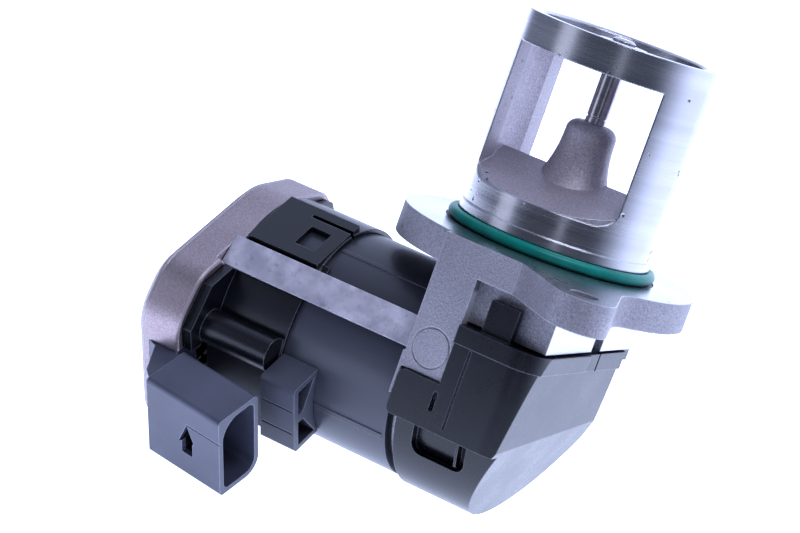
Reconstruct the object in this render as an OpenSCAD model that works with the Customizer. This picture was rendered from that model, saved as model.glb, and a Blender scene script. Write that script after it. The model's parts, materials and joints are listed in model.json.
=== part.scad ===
// Electric exhaust gas recirculation valve.
// A poppet in a windowed cage is lifted by a crank, which a motor turns through two gear pairs.
// The origin is the centre of the flange's machined face, on the valve's axis.
// +Z runs up the cage and the motor lies along -X. All sizes are millimetres.

/* [Valve cage] */
// Outside diameter of the cage tube
cage_d = 50; // [47:0.5:51]
// Wall of the cage tube
cage_wall = 3.5; // [3:0.1:4.5]
// Height of the cage above the flange face
cage_h = 55.7; // [52:0.1:62]
// Height of the closed ring above the gas windows
mouth_ring_h = 8.1; // [7.6:0.1:10]
// Width of the two gas windows
window_w = 40; // [30:0.5:42]
// Height of the windows' lower edge above the flange face
window_sill = 12; // [9:0.5:15]
// Corner radius at the foot of the windows
window_corner_r = 4.5; // [2:0.5:6]
// Height of the sloped floor's ridge above the flange face
ridge_h = 20; // [17:0.5:23]
// Height of the stem guide's boss above the flange face
boss_h = 33.5; // [30:0.5:36]
// Diameter of the turned foot of the cage, where the seal ring sits
cage_foot_d = 50.8; // [50:0.1:52]
// Height of the turned foot
cage_foot_h = 5.4; // [4:0.1:7]
// Thickness of the seal ring round the foot
o_ring_section = 2.9; // [2:0.1:3.5]
// Depth of the groove in the foot that holds the seal ring
ring_groove = 0.8; // [0.5:0.1:1.2]

/* [Poppet] */
// Diameter of the valve stem
stem_d = 5.5; // [5:0.1:6]
// Lift of the poppet
valve_lift = 7; // [4:0.5:8]
// Depth of the seat ring's top face below the mouth
seat_drop = 4.1; // [3:0.1:4.5]
// Height of the pressed seat ring
seat_ring_h = 3.2; // [2.6:0.1:3.3]
// Radial width of the pressed seat ring
seat_ring_w = 2.8; // [2.2:0.1:3.5]
// Thickness of the poppet's disc
disc_t = 3.4; // [2.8:0.1:4]
// Diameter of the poppet's hub
disc_hub_d = 13; // [10:0.5:16]
// Diameter of the riveted stem end
rivet_d = 6; // [5:0.5:8]

/* [Flange] */
// Radius of the round part of the flange
flange_r = 38.5; // [36:0.5:39.5]
// Thickness of the flange
flange_t = 8; // [6:0.5:10]
// Distance between the two bolt holes
bolt_pitch = 112.6; // [108:0.2:118]
// Direction of the front bolt hole, in degrees
bolt_angle = -57; // [-62:1:-52]
// Diameter of the bolt holes
bolt_hole_d = 6.8; // [5.5:0.1:8]
// Radius of the ears round the bolt holes
ear_r = 8; // [7:0.5:9]
// Radius of the fillets between the ears and the round part
ear_fillet_r = 12; // [6:1:16]

/* [Housing] */
// Distance of the motor's axis in front of the valve's axis
motor_offset = 9; // [8.5:0.1:10]
// Distance of the motor's axis below the flange face
motor_drop = 40; // [39:0.1:42]
// Distance of the crank's axis below the flange face
crank_drop = 20; // [19.5:0.1:20.5]
// Thickness of the wall that carries the motor
motor_wall_t = 6.6; // [6:0.1:7]
// Distance of the motor wall's outer face to the left of the valve's axis
motor_wall_reach = 10.6; // [10:0.1:11.5]
// How far the casting's front face stands proud of the cover's round bottom
front_proud = 3; // [2.6:0.1:4]
// Distance of the gear chamber's ceiling below the flange face
chamber_drop = 11; // [10:0.5:12]
// Distance of the casting's joint face below the flange face
joint_drop = 18.8; // [18.3:0.1:19.3]

/* [Gear cover] */
// Radius of the cover's round bottom
cover_r = 28; // [27.8:0.1:29]
// Wall of the cover
cover_wall = 2.2; // [1.8:0.1:2.4]
// Distance of the cover's right face from the valve's axis
cover_reach = 23.3; // [22.5:0.1:24]
// Distance of the cover's open left edge from the valve's axis
cover_edge_reach = 8.6; // [8.3:0.1:9.4]
// How far the cover's front panel stands proud of the casting's front face
panel_proud = 1; // [0.6:0.1:1.6]
// Distance of the front panel's lower edge below the flange face
panel_drop = 46.6; // [45:0.1:48]
// Radius of the cover's upright corners on the right
cover_corner_r = 7; // [5:0.5:8]
// Draft of the cover's right face, in degrees
cover_draft = 6; // [3:0.5:7]
// Slope of the facet below the right face, in degrees
facet_slope = 22; // [16:1:26]
// Rise of the facet's upper edge towards the back, in degrees
facet_rise = 4.4; // [2:0.2:7]
// Distance of the facet's upper edge below the flange face, at the front
crease_drop = 45.4; // [43:0.2:47]
// Thickness of the seal between the cover and the casting
cover_seal_t = 0.6; // [0.4:0.1:1]

/* [Gear train] */
// Module of the motor's gear pair
fast_module = 0.6; // [0.58:0.01:0.62]
// Teeth of the motor pinion
pinion_teeth = 12; // [12:1:13]
// Teeth of the idler's large wheel
wheel_teeth = 34; // [33:1:35]
// Module of the crank's gear pair
slow_module = 0.8; // [0.78:0.01:0.82]
// Teeth of the idler's small pinion
idler_pinion_teeth = 12; // [12:1:13]
// Teeth that the crank's sector would have as a full gear
sector_teeth = 42; // [41:1:43]
// Width of the gears' teeth
gear_w = 4; // [3:0.2:4.4]
// Backlash of each gear pair, measured at the pitch circle
backlash = 0.12; // [0.1:0.01:0.2]

/* [Crank] */
// Diameter of the crank's shaft
crank_shaft_d = 6; // [5:0.2:6.4]
// Diameter of the crank's pin
crank_pin_d = 4; // [3.2:0.1:4.4]
// Wire of the return spring
spring_wire = 0.9; // [0.7:0.1:1]
// Diameter of the idler's pin
idler_pin_d = 3; // [2.5:0.1:3.4]

/* [Motor] */
// Outside diameter of the motor can
can_d = 54; // [53:0.5:54.4]
// Wall of the motor can
can_wall = 1.5; // [1.2:0.1:1.8]
// Length of the motor can
can_len = 50; // [48:0.5:52]
// Diameter of the motor's shaft
motor_shaft_d = 4; // [3.4:0.1:4.2]
// Diameter of the armature
armature_d = 39.4; // [36:0.2:39.6]
// Air gap between the armature and the magnets
air_gap = 0.7; // [0.5:0.1:1]
// Number of slots of the armature
slot_count = 10; // [8:1:12]
// Number of bars of the commutator
commutator_bars = 10; // [8:1:12]
// Turn of the motor and its connector about the motor's axis, in degrees
clock_angle = 34; // [30:1:38]

/* [Motor ends] */
// Wall of the plastic collar round the can
collar_wall = 1.1; // [0.9:0.1:1.5]
// Length of the collar
collar_len = 22.6; // [21.6:0.2:25]
// Depth of the cast end cap
cap_depth = 13.8; // [12.5:0.1:15]
// Wall of the end cap
cap_wall = 2.6; // [2:0.1:3]
// Width of the clamp straps
strap_w = 8.3; // [7:0.1:9]
// Thickness of the clamp straps
strap_t = 0.8; // [0.6:0.1:1]

/* [Connector] */
// Length of the connector's shroud
plug_len = 24.4; // [23:0.2:26]
// Depth of the shroud, away from the motor
plug_depth = 14; // [12.8:0.1:15]
// Width of the shroud
plug_w = 24.6; // [23.6:0.1:27]
// Radius of the shroud's lower inner edge
plug_corner_r = 5; // [3:0.5:6]
// Wall of the shroud
plug_wall = 1.4; // [1.2:0.1:1.8]
// Tilt of the shroud: its mouth lies farther out than its back, in degrees
plug_tilt = 7; // [4:0.5:8]
// Depth of the plug's socket
socket_depth = 18; // [15:0.5:19]
// Number of contact pins
pin_count = 5; // [3:1:5]

/* [Fits] */
// Radial play of running shafts and slides
running_fit = 0.05; // [0.03:0.01:0.08]
// Radial play of pressed and bonded pieces
press_fit = 0.01; // [0.005:0.005:0.02]
// Gap between pieces that lie against each other
seat_gap = 0.2; // [0.1:0.05:0.3]
// Radial play of the collar round the can
collar_play = 0.1; // [0.05:0.05:0.2]
// Height of the clamp straps above the can
strap_stand = 2.05; // [1.9:0.05:2.4]

/* [Hidden] */
$fn = 72;

// Overlap that keeps a cut open past a face
cut = 1;
// Overlap of two arcs that run into each other
outline_blend = 0.02;
// How far a tooth's flank and its foot reach below the root circle
flank_overlap = 0.05;
tooth_sunk = 0.3;
pressure_angle = 25;

// Cage, seat and poppet
cage_r = cage_d / 2;
bore_r = cage_r - cage_wall;
ring_play = 0.05;
ring_seat_r = cage_foot_d / 2 - ring_groove;
groove_top = o_ring_section + 2 * ring_play;
relief_r = ring_seat_r + o_ring_section + 0.3;
relief_depth = 0.3;
window_top = cage_h - mouth_ring_h;
seat_top = cage_h - seat_drop;
seat_bottom = seat_top - seat_ring_h;
ledge_r = bore_r - 1.2;
seat_throat_r = bore_r - seat_ring_w;
seat_outer_r = bore_r - 0.6;
cone_h = seat_outer_r - seat_throat_r;
disc_r = bore_r - 0.5;
disc_gap = 0.045;
disc_bottom = seat_top - (seat_outer_r - seat_throat_r) + disc_gap + 0.2;
disc_top = disc_bottom + disc_t;
hub_top = disc_top + 1.6;
rivet_top = hub_top + 1.2;
stem_r = stem_d / 2;
stem_tip_r = stem_r - 0.7;
boss_tip_r = 6.6;

// Stem guide
bush_r = stem_r + 1.8;
bush_top = boss_h - 2.6;
bush_bottom = 0;
seal_h = 3.4;
stem_pocket_r = stem_r + 3;
stem_pocket_top = bush_bottom - seal_h - seat_gap;

// Axes across the gear chamber
motor_y = -motor_offset;
motor_z = -motor_drop;
crank_y = motor_y;
crank_z = -crank_drop;
crank_throw = motor_offset;
half_swing = asin(valve_lift / 2 / crank_throw);
swing = 2 * half_swing;
pin_rest_z = crank_z - valve_lift / 2;
pin_rest_y = crank_y + crank_throw * cos(half_swing);
slot_half_h = crank_pin_d / 2 + 0.1;
tang_bottom = pin_rest_z + slot_half_h + 1;
yoke_top = pin_rest_z + slot_half_h + 7.2;

// Gear centres: the idler sits in front of the line from the motor to the crank
fast_centres = fast_module * (pinion_teeth + wheel_teeth) / 2;
slow_centres = slow_module * (idler_pinion_teeth + sector_teeth) / 2;
axis_gap = crank_z - motor_z;
idler_rise = (pow(fast_centres, 2) - pow(slow_centres, 2) + pow(axis_gap, 2)) / (2 * axis_gap);
idler_reach = sqrt(pow(fast_centres, 2) - pow(idler_rise, 2));
idler_y = motor_y - idler_reach;
idler_z = motor_z + idler_rise;
crank_to_idler = atan2(idler_z - crank_z, idler_y - crank_y);
idler_to_crank = crank_to_idler + 180;
idler_to_motor = atan2(motor_z - idler_z, motor_y - idler_y);
motor_to_idler = idler_to_motor + 180;

// Places along the shafts
wall_left = -motor_wall_reach;
wall_right = wall_left + motor_wall_t;
yoke_half_w = 2.6;
tang_r = stem_r - 0.65;
yoke_neck_r = tang_r + 1;
slow_left = yoke_neck_r + 0.3;
slow_right = slow_left + gear_w;
fast_left = slow_right + 0.6;
fast_right = fast_left + gear_w;
lug_left = slow_right + 6.6;
lug_right = lug_left + 4;
chamber_right = 17.6;
front_reach = motor_offset + cover_r + front_proud;
foot_recess = -front_reach + 2;
block_front = -front_reach + 3;
block_right = cover_reach - 0.4;
block_back = motor_y + cover_r;
motor_wall_r = cover_r - cover_wall - 0.4;
chamber_low = motor_z - cover_r;
crank_shaft_r = crank_shaft_d / 2;
crank_pin_r = crank_pin_d / 2;
crank_bush_r = crank_shaft_r + 1.5;
spring_r = crank_bush_r + 1.3;
idler_pin_r = idler_pin_d / 2;
idler_hub_r = slow_module * (idler_pinion_teeth / 2 - 1.25) - 0.2;

// Cover
joint_z = -joint_drop;
cover_top = joint_z - cover_seal_t;
cover_edge = -cover_edge_reach;
panel_reach = front_reach + panel_proud;
crease_z = -crease_drop;
panel_left = 1.3;
foot_left = wall_left + 0.6;
foot_top = -34.9;
foot_front = -panel_reach;
foot_back = foot_recess - seat_gap;
recess_depth = 2.4;
recess_left = -3.4;
recess_right = 11.6;
recess_bottom = -55;

// Motor
can_r = can_d / 2;
gasket_t = 1;
can_right = wall_left - gasket_t;
can_left = can_right - can_len;
can_end_t = 2;
nose_r = 8;
nose_right = wall_left + 3.6;
bearing_r = 5;
motor_shaft_r = motor_shaft_d / 2;
motor_shaft_right = fast_right + 0.5;
core_r = armature_d / 2;
magnet_in_r = core_r + air_gap;
magnet_out_r = can_r - can_wall - press_fit;
core_right = can_right - 8.4;
core_left = core_right - 28;
slot_r = 3.1;
slot_ring = core_r - slot_r - 2;
slot_mouth = 1.8;
winding_play = 0.2;
winding_t = 3.6;
winding_r = core_r - 1.6;
commutator_r = 7.5;
commutator_right = core_left - winding_t - 0.4;
commutator_left = commutator_right - 5.6;
brush_plate_right = commutator_left - 1.2;
brush_plate_t = 1.8;
brush_plate_r = can_r - can_wall - 0.15;
brush_box_reach = brush_plate_r - 3;
brush_box_end_t = 1.2;

// Motor ends
collar_in_r = can_r + collar_play;
collar_r = collar_in_r + collar_wall;
cap_right = can_left - 4.6;
collar_left = cap_right + seat_gap;
collar_right = collar_left + collar_len;
plate_t = 2.4;
spigot_t = 2.2;
cap_left = cap_right - cap_depth;
cap_chamfer = 2.5;
cap_front = 39;
cap_front_half = 16.5;
cap_side_front = 28.5;
cap_half_w = 26.5;
cap_side_back = -9.5;
cap_corner_u = -27;
cap_corner_half = 18;
cap_back = -30;
cap_back_half = 11;
latch_face = collar_r + 0.5;
rear_bearing_right = collar_left + plate_t;
rear_bearing_left = collar_left - spigot_t;
magnet_h = 3;
shaft_left = rear_bearing_left - 0.4 - magnet_h;
board_t = 1.2;
board_right = shaft_left - 1;
strap_angle = clock_angle + 119.5;
strap_in = can_r + strap_stand;
strap_hook = 1.5;
strap_play = 0.2;
strap_left = cap_right - 1.4;
strap_right_front = cover_edge - 1.2;
strap_right_back = wall_left - 3.8;

// Connector
plug_back = cap_right + 3.5;
plug_front = plug_back + plug_len;
plug_in = cap_front + 1.1;
plug_out = plug_in + plug_depth;
notch_half_w = 9;
neck_left = cap_left + 5;
neck_right = cap_right - seat_gap;
neck_foot = cap_front - 8;
pin_pitch = 4;
pin_w = 0.8;
pin_mid_u = (plug_in + plug_out) / 2;
pin_bend_x = neck_right - 0.8;
pin_foot_u = cap_front - 10;
block_in = can_r + 0.2;
block_out = cap_front - 3.5;
block_half_w = 10.4;
block_len = 10.4;

// Extrudes a flat shape in (y, z) along X from x0 to x1
module along_x(x0, x1) {
    translate([x0, 0, 0]) rotate([90, 0, 90]) linear_extrude(x1 - x0) children();
}

// Extrudes a flat shape in (x, z) along Y from y0 to y1
module along_y(y0, y1) {
    translate([0, y1, 0]) rotate([90, 0, 0]) linear_extrude(y1 - y0) children();
}

// Round bar along X
module bar_x(r, x0, x1) {
    translate([x0, 0, 0]) rotate([0, 90, 0]) cylinder(r = r, h = x1 - x0);
}

module tube_x(r_out, r_in, x0, x1) {
    difference() {
        bar_x(r_out, x0, x1);
        bar_x(r_in, x0 - cut, x1 + cut);
    }
}

module box(x0, x1, y0, y1, z0, z1) {
    translate([x0, y0, z0]) cube([x1 - x0, y1 - y0, z1 - z0]);
}

module at_motor() {
    translate([0, motor_y, motor_z]) children();
}

module at_crank() {
    translate([0, crank_y, crank_z]) children();
}

module at_idler() {
    translate([0, idler_y, idler_z]) children();
}

// Motor frame turned so that +Y points at the connector
module clocked() {
    at_motor() rotate([180 + clock_angle, 0, 0]) children();
}

// Motor frame turned so that +Y points through a strap: the front one at 0, the back one at 180 degrees
module at_strap(turn) {
    at_motor() rotate([strap_angle + turn, 0, 0]) children();
}

module at_straps() {
    for (turn = [0, 180]) {
        at_strap(turn) children();
    }
}

module rounded_rect(x0, x1, y0, y1, r) {
    translate([x0 + r, y0]) square([x1 - x0 - 2 * r, y1 - y0]);
    translate([x0, y0 + r]) square([x1 - x0, y1 - y0 - 2 * r]);
    for (x = [x0 + r, x1 - r], y = [y0 + r, y1 - r]) {
        translate([x, y]) circle(r);
    }
}

// Involute gear teeth
function polar(r, a) = [r * cos(a), r * sin(a)];
function involute(r, base_r) = r <= base_r ? 0 : tan(acos(base_r / r)) * 180 / PI - acos(base_r / r);
function half_tooth(r, pitch_r, base_r, teeth) =
    90 / teeth - backlash / pitch_r * 45 / PI + involute(pitch_r, base_r) - involute(r, base_r);

// One tooth centred on angle a, from just inside the root to the tip
function tooth_points(m, teeth, a, steps) =
    let (
        pitch_r = m * teeth / 2,
        base_r = pitch_r * cos(pressure_angle),
        root_r = pitch_r - 1.25 * m,
        start_r = max(base_r, root_r - flank_overlap),
        tip_r = pitch_r + m,
        radii = [for (i = [0:steps]) start_r + (tip_r - start_r) * i / steps],
        foot = half_tooth(start_r, pitch_r, base_r, teeth)
    )
    concat(
        [polar(root_r - tooth_sunk, a - foot)],
        [for (r = radii) polar(r, a - half_tooth(r, pitch_r, base_r, teeth))],
        [for (i = [steps:-1:0]) polar(radii[i], a + half_tooth(radii[i], pitch_r, base_r, teeth))],
        [polar(root_r - tooth_sunk, a + foot)]
    );

module gear_teeth(m, teeth, phase, first, last) {
    for (i = [first:last]) {
        polygon(tooth_points(m, teeth, phase + i * 360 / teeth, 4));
    }
}

module gear_shape(m, teeth, phase) {
    circle(m * teeth / 2 - 1.25 * m);
    gear_teeth(m, teeth, phase, 0, teeth - 1);
}

// Cage and flange
module flange_outline() {
    arm = bolt_pitch / 2;
    root_r = 22;
    lean = asin((root_r - ear_r) / arm);
    side = [sin(lean), cos(lean)];
    along = [cos(lean), -sin(lean)];
    run = sqrt(pow(flange_r + ear_fillet_r - outline_blend, 2) - pow(root_r + ear_fillet_r, 2));
    fillet_c = side * (root_r + ear_fillet_r) + along * run;
    circle(flange_r);
    for (turn = [0, 180]) {
        rotate(bolt_angle + turn) {
            translate([arm, 0]) circle(ear_r);
            for (mirrored = [0, 1]) {
                mirror([0, mirrored]) {
                    polygon([[0, 0], side * root_r, [arm, 0] + side * ear_r, [arm, 0]]);
                    difference() {
                        polygon([[0, 0], side * root_r + along * run, fillet_c]);
                        translate(fillet_c) circle(ear_fillet_r);
                    }
                }
            }
        }
    }
}

module bolt_holes() {
    for (turn = [0, 180]) {
        rotate(bolt_angle + turn) translate([bolt_pitch / 2, 0, -flange_t - cut])
            cylinder(d = bolt_hole_d, h = flange_t + 2 * cut);
    }
}

module cage_tube() {
    difference() {
        union() {
            cylinder(r = cage_r, h = cage_h);
            cylinder(d = cage_foot_d, h = cage_foot_h);
        }
        translate([0, 0, ridge_h - 10]) cylinder(r = bore_r, h = window_top - ridge_h + 10);
        translate([0, 0, window_top - cut]) cylinder(r = ledge_r, h = mouth_ring_h + 2 * cut);
        translate([0, 0, seat_bottom]) cylinder(r = bore_r, h = cage_h);
        translate([0, 0, cage_h - 0.5])
            cylinder(r1 = bore_r, r2 = bore_r + 0.5 + cut, h = 0.5 + cut);
        along_y(-cage_r - cut, cage_r + cut) difference() {
            rounded_rect(-window_w / 2, window_w / 2, window_sill, window_top + 10, window_corner_r);
            translate([-window_w, window_top]) square([2 * window_w, 20]);
        }
    }
}

// Gas floor, sloped like a roof to both windows
module cage_floor() {
    intersection() {
        cylinder(r = cage_r - 0.3, h = ridge_h);
        along_x(-cage_r, cage_r)
            polygon([[-cage_r, 0], [cage_r, 0], [cage_r, window_sill - 0.6], [0, ridge_h],
                [-cage_r, window_sill - 0.6]]);
    }
}

// Bell-shaped stem guide: narrow below its rounded top, flared into the floor
module guide_boss() {
    flare_r = 11;
    neck_z = boss_h - 3;
    foot_z = window_sill + 2;
    steps = 10;
    flare = [for (i = [0:steps])
        let (s = i / steps)
        [boss_tip_r + (flare_r - boss_tip_r) * pow(1 - s, 2.2), foot_z + (neck_z - foot_z) * s]];
    shoulder = [for (a = [15:15:90]) [boss_tip_r - 3 + 3 * cos(a), neck_z + 3 * sin(a)]];
    rotate_extrude() polygon(concat([[0, foot_z]], flare, shoulder, [[0, boss_h]]));
}

// Side outline of the gear space in (y, z): straight walls with a round bottom
module cover_outline(inset, top) {
    r = cover_r - inset;
    translate([motor_y, motor_z]) circle(r);
    translate([motor_y - r, motor_z]) square([2 * r, top - motor_z]);
}

// Edge of the drafted right face in (x, z)
module cover_profile(inset, left, top) {
    right = cover_reach - inset;
    low = motor_z - cover_r - 2;
    low_x = right - (cover_top - low) * tan(cover_draft);
    polygon([[left, top], [right, top], [right, cover_top], [low_x, low], [left, low]]);
}

// All that lies inside the slanted facet below the right face
module facet_side(inset) {
    span = 4 * cover_r;
    crease_x = cover_reach - (cover_top - crease_z) * tan(cover_draft);
    translate([crease_x, -panel_reach, crease_z]) rotate([facet_rise, 0, 0]) rotate([0, facet_slope, 0])
        box(-span, -inset, -span, span, -span, span);
}

// Plan of the cover in (x, y) with rounded right corners
module cover_plan(inset, left, front, back) {
    r = cover_corner_r - min(inset, 3);
    right = cover_reach - inset;
    translate([left, front]) square([right - left - r, back - front]);
    translate([right - r - 1, front + r]) square([r + 1, back - front - 2 * r]);
    for (y = [front + r, back - r]) {
        translate([right - r, y]) circle(r);
    }
}

module cover_form(inset, left, top) {
    front = motor_y - cover_r + inset;
    back = motor_y + cover_r - inset;
    low = motor_z - cover_r - cut;
    intersection() {
        along_x(left, cover_reach) cover_outline(inset, top);
        along_y(front - cut, back + cut) cover_profile(inset, left, top);
        translate([0, 0, low]) linear_extrude(top - low) cover_plan(inset, left, front, back);
        facet_side(inset);
    }
}

// Upper front of the cover, which stands proud of its round bottom
module panel_form(inset, left, top) {
    front = -panel_reach + inset;
    back = motor_y;
    low = -panel_drop + inset;
    intersection() {
        translate([0, 0, low]) linear_extrude(top - low)
            intersection() {
                cover_plan(inset, left, front, motor_y + cover_r);
                translate([left, front]) square([2 * cover_reach, back - front]);
            }
        along_y(front - cut, back + cut) cover_profile(inset, left, top);
        facet_side(inset);
    }
}

module rim_band() {
    band_h = 4.6;
    proud = 0.7;
    intersection() {
        union() {
            cover_form(-proud, panel_left, cover_top);
            panel_form(-proud, panel_left, cover_top);
        }
        box(panel_left, 2 * cover_reach, -2 * front_reach, 2 * front_reach, cover_top - band_h, cover_top);
    }
}

module valve_housing() {
    pillar_right = panel_left - 0.3;
    color("#b9b6bf") difference() {
        union() {
            cage_tube();
            cage_floor();
            guide_boss();
            translate([0, 0, -flange_t]) linear_extrude(flange_t) flange_outline();
            // Straight front of the flange, flush with the casting below it
            box(wall_left, 12, -front_reach, 0, -flange_t, 0);
            // Block over the gear chamber
            box(wall_left, block_right, block_front, block_back, joint_z, -flange_t + 0.01);
            // Front pillar beside the cover's panel
            box(wall_left, pillar_right, -front_reach, block_front + cut, foot_top + seat_gap, -flange_t + 0.01);
            box(wall_left, pillar_right, foot_recess, motor_y, motor_z - 1, foot_top + 1);
            box(wall_left - 0.5, foot_left - seat_gap, -front_reach, block_front, motor_z - 2, foot_top + 4);
            // Wall that carries the motor
            along_x(wall_left, wall_right) {
                translate([motor_y, motor_z]) circle(motor_wall_r);
                translate([motor_y - motor_wall_r, motor_z]) square([2 * motor_wall_r, joint_z - motor_z + cut]);
            }
            // Boss round the idler's pin
            at_idler() bar_x(idler_pin_r + 2.4, wall_right - cut, slow_left - 1);
            // Lug that holds the crank's outer bush
            at_crank() bar_x(crank_bush_r + 2, lug_left, lug_right);
            box(lug_left, lug_right, crank_y - crank_bush_r - 2, crank_y + crank_bush_r + 2, crank_z, -chamber_drop);
            strap_lugs();
        }
        // Gear chamber, open below
        box(wall_right, lug_left - cut / 2, motor_y - cover_r + cover_wall + 4, block_back - 6, chamber_low,
            -chamber_drop);
        difference() {
            box(lug_left - cut, chamber_right + 0.8, motor_y - cover_r + cover_wall + 4, block_back - 6,
                chamber_low, -chamber_drop);
            box(lug_left, lug_right, crank_y - crank_bush_r - 2, crank_y + crank_bush_r + 2, crank_z,
                -chamber_drop + cut);
            at_crank() bar_x(crank_bush_r + 2, lug_left, lug_right);
        }
        bolt_holes();
        // Groove for the seal ring, with a relief in the flange's face below it
        rotate_extrude() polygon([
            [ring_seat_r, -relief_depth], [relief_r, -relief_depth], [relief_r, groove_top], [ring_seat_r, groove_top]
        ]);
        // Stem guide's bores
        translate([0, 0, bush_top]) cylinder(r = stem_r + 0.3, h = boss_h);
        translate([0, 0, stem_pocket_top - 10]) cylinder(r = bush_r, h = bush_top - stem_pocket_top + 10);
        translate([0, 0, -chamber_drop - cut]) cylinder(r = stem_pocket_r, h = chamber_drop + cut + stem_pocket_top);
        // Shaft bores
        at_crank() bar_x(crank_bush_r, wall_left + 1.6, lug_right + cut);
        at_idler() bar_x(idler_pin_r, wall_left + 1.4, slow_left);
        at_motor() bar_x(nose_r + seat_gap / 2, wall_left - cut, wall_right + cut);
        // Hole for the return spring's fixed leg
        at_crank() rotate([crank_to_idler - swing / 2 + 180, 0, 0]) translate([0, spring_r, 0])
            bar_x(spring_wire / 2 + 0.15, lug_left - cut, lug_left + 2);
        // Notch for the cover's hook in the right face
        box(block_right - 2.2, block_right + cut, -8, -2, joint_z - cut, -flange_t - 3);
        // Round sink mark of the ejector on the front face
        translate([-4.4, -front_reach + 0.3, -28]) rotate([90, 0, 0]) difference() {
            cylinder(r = 5.2, h = cut);
            cylinder(r = 4.8, h = cut);
        }
        // Pocket for the end of the front strap
        at_strap(0) box(wall_left - cut, strap_right_front + 0.1, strap_in - strap_play, strap_in + strap_t + strap_play,
            -strap_w / 2 - strap_play, strap_w / 2 + strap_play);
    }
}

// Seats of the straps: a pad with a pocket in front, and a lug with a slot for the strap's hook at the back
module strap_lugs() {
    root_r = motor_wall_r - 2.1;
    in_r = can_r + 0.3;
    out_r = strap_in - 0.05;
    pad_right = cover_edge - 0.3;
    half = strap_w / 2 + 1.6;
    at_strap(0) box(wall_left, pad_right, root_r, strap_in + strap_t + 1.6, -half, half);
    at_strap(180) difference() {
        union() {
            box(strap_right_back - 2, pad_right, in_r, out_r, -half, half);
            box(wall_left, pad_right, root_r, out_r, -half, half);
        }
        box(strap_right_back - strap_t - strap_play, strap_right_back + strap_play, in_r - cut, out_r + cut,
            -strap_w / 2 - strap_play, strap_w / 2 + strap_play);
    }
}

module seat_ring() {
    color("#8d8f96") rotate_extrude() polygon([
        [seat_throat_r, seat_bottom],
        [bore_r - press_fit, seat_bottom],
        [bore_r - press_fit, seat_top],
        [seat_outer_r, seat_top],
        [seat_throat_r, seat_top - cone_h]
    ]);
}

module stem_bush() {
    color("#a08a5c") difference() {
        translate([0, 0, bush_bottom]) cylinder(r = bush_r - press_fit, h = bush_top - bush_bottom);
        translate([0, 0, bush_bottom - cut]) cylinder(r = stem_r + running_fit, h = bush_top + 2 * cut);
    }
}

module stem_seal() {
    color("#2b2b2e") translate([0, 0, bush_bottom - seal_h]) difference() {
        cylinder(r = bush_r - press_fit, h = seal_h - press_fit);
        translate([0, 0, -cut]) cylinder(r = stem_r + running_fit, h = seal_h + 2 * cut);
        translate([0, 0, -cut]) cylinder(r = stem_r + 0.9, h = cut + 1.2);
    }
}

module o_ring() {
    section_r = o_ring_section / 2;
    color("#00877d") translate([0, 0, section_r + ring_play]) rotate_extrude()
        translate([ring_seat_r + ring_play + section_r, 0]) circle(section_r, $fn = 24);
}

module valve_disc() {
    color("#9a9ba3") rotate_extrude() polygon([
        [stem_tip_r + press_fit, disc_bottom - 0.2],
        [disc_r - (seat_top + disc_gap - disc_bottom) - 0.1, disc_bottom],
        [disc_r, seat_top + disc_gap + 0.1],
        [disc_r, disc_top - 0.4],
        [disc_r - 0.4, disc_top],
        [disc_hub_d / 2 + 1.2, disc_top],
        [disc_hub_d / 2 + 0.3, disc_top + 0.4],
        [disc_hub_d / 2, hub_top - 0.3],
        [disc_hub_d / 2 - 0.3, hub_top],
        [stem_tip_r + press_fit, hub_top]
    ]);
}

module valve_stem() {
    groove_z = boss_h + 1.3;
    color("#a9abb3") rotate_extrude() polygon([
        [0, tang_bottom],
        [tang_r - 0.3, tang_bottom],
        [tang_r, tang_bottom + 0.3],
        [tang_r, yoke_top + 0.01],
        [stem_r, yoke_top + 0.01],
        [stem_r, groove_z],
        [stem_r - 0.25, groove_z],
        [stem_r - 0.25, groove_z + 0.5],
        [stem_r, groove_z + 0.5],
        [stem_r, disc_bottom - 0.21],
        [stem_tip_r, disc_bottom - 0.21],
        [stem_tip_r, hub_top + press_fit],
        [rivet_d / 2, hub_top + press_fit],
        [rivet_d / 2, rivet_top - 0.5],
        [rivet_d / 2 - 0.8, rivet_top],
        [0, rivet_top]
    ]);
}

// Slotted yoke under the stem, which the crank's pin lifts
module stem_yoke() {
    travel = crank_throw * (1 - cos(half_swing));
    slot_left = -travel - crank_pin_r - 0.25;
    slot_right = crank_pin_r + 0.25;
    web = 2.2;
    color("#8a8c92") difference() {
        union() {
            along_x(-yoke_half_w, yoke_half_w)
                rounded_rect(slot_left - web, slot_right + web, pin_rest_z - slot_half_h - web,
                    pin_rest_z + slot_half_h + web, 1.6);
            translate([0, 0, pin_rest_z]) cylinder(r = yoke_neck_r, h = yoke_top - pin_rest_z);
        }
        along_x(-2 * yoke_half_w - cut, 2 * yoke_half_w + cut)
            rounded_rect(slot_left, slot_right, pin_rest_z - slot_half_h, pin_rest_z + slot_half_h, slot_half_h - 0.01);
        translate([0, 0, tang_bottom - press_fit]) cylinder(r = tang_r + press_fit, h = 20);
    }
}

module crank_shaft() {
    color("#9b9da5") at_crank() bar_x(crank_shaft_r, wall_left + 2.2, lug_right - 0.3);
}

module crank_pin() {
    color("#9b9da5") translate([0, pin_rest_y, pin_rest_z])
        bar_x(crank_pin_r, -yoke_half_w, slow_right);
}

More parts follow.
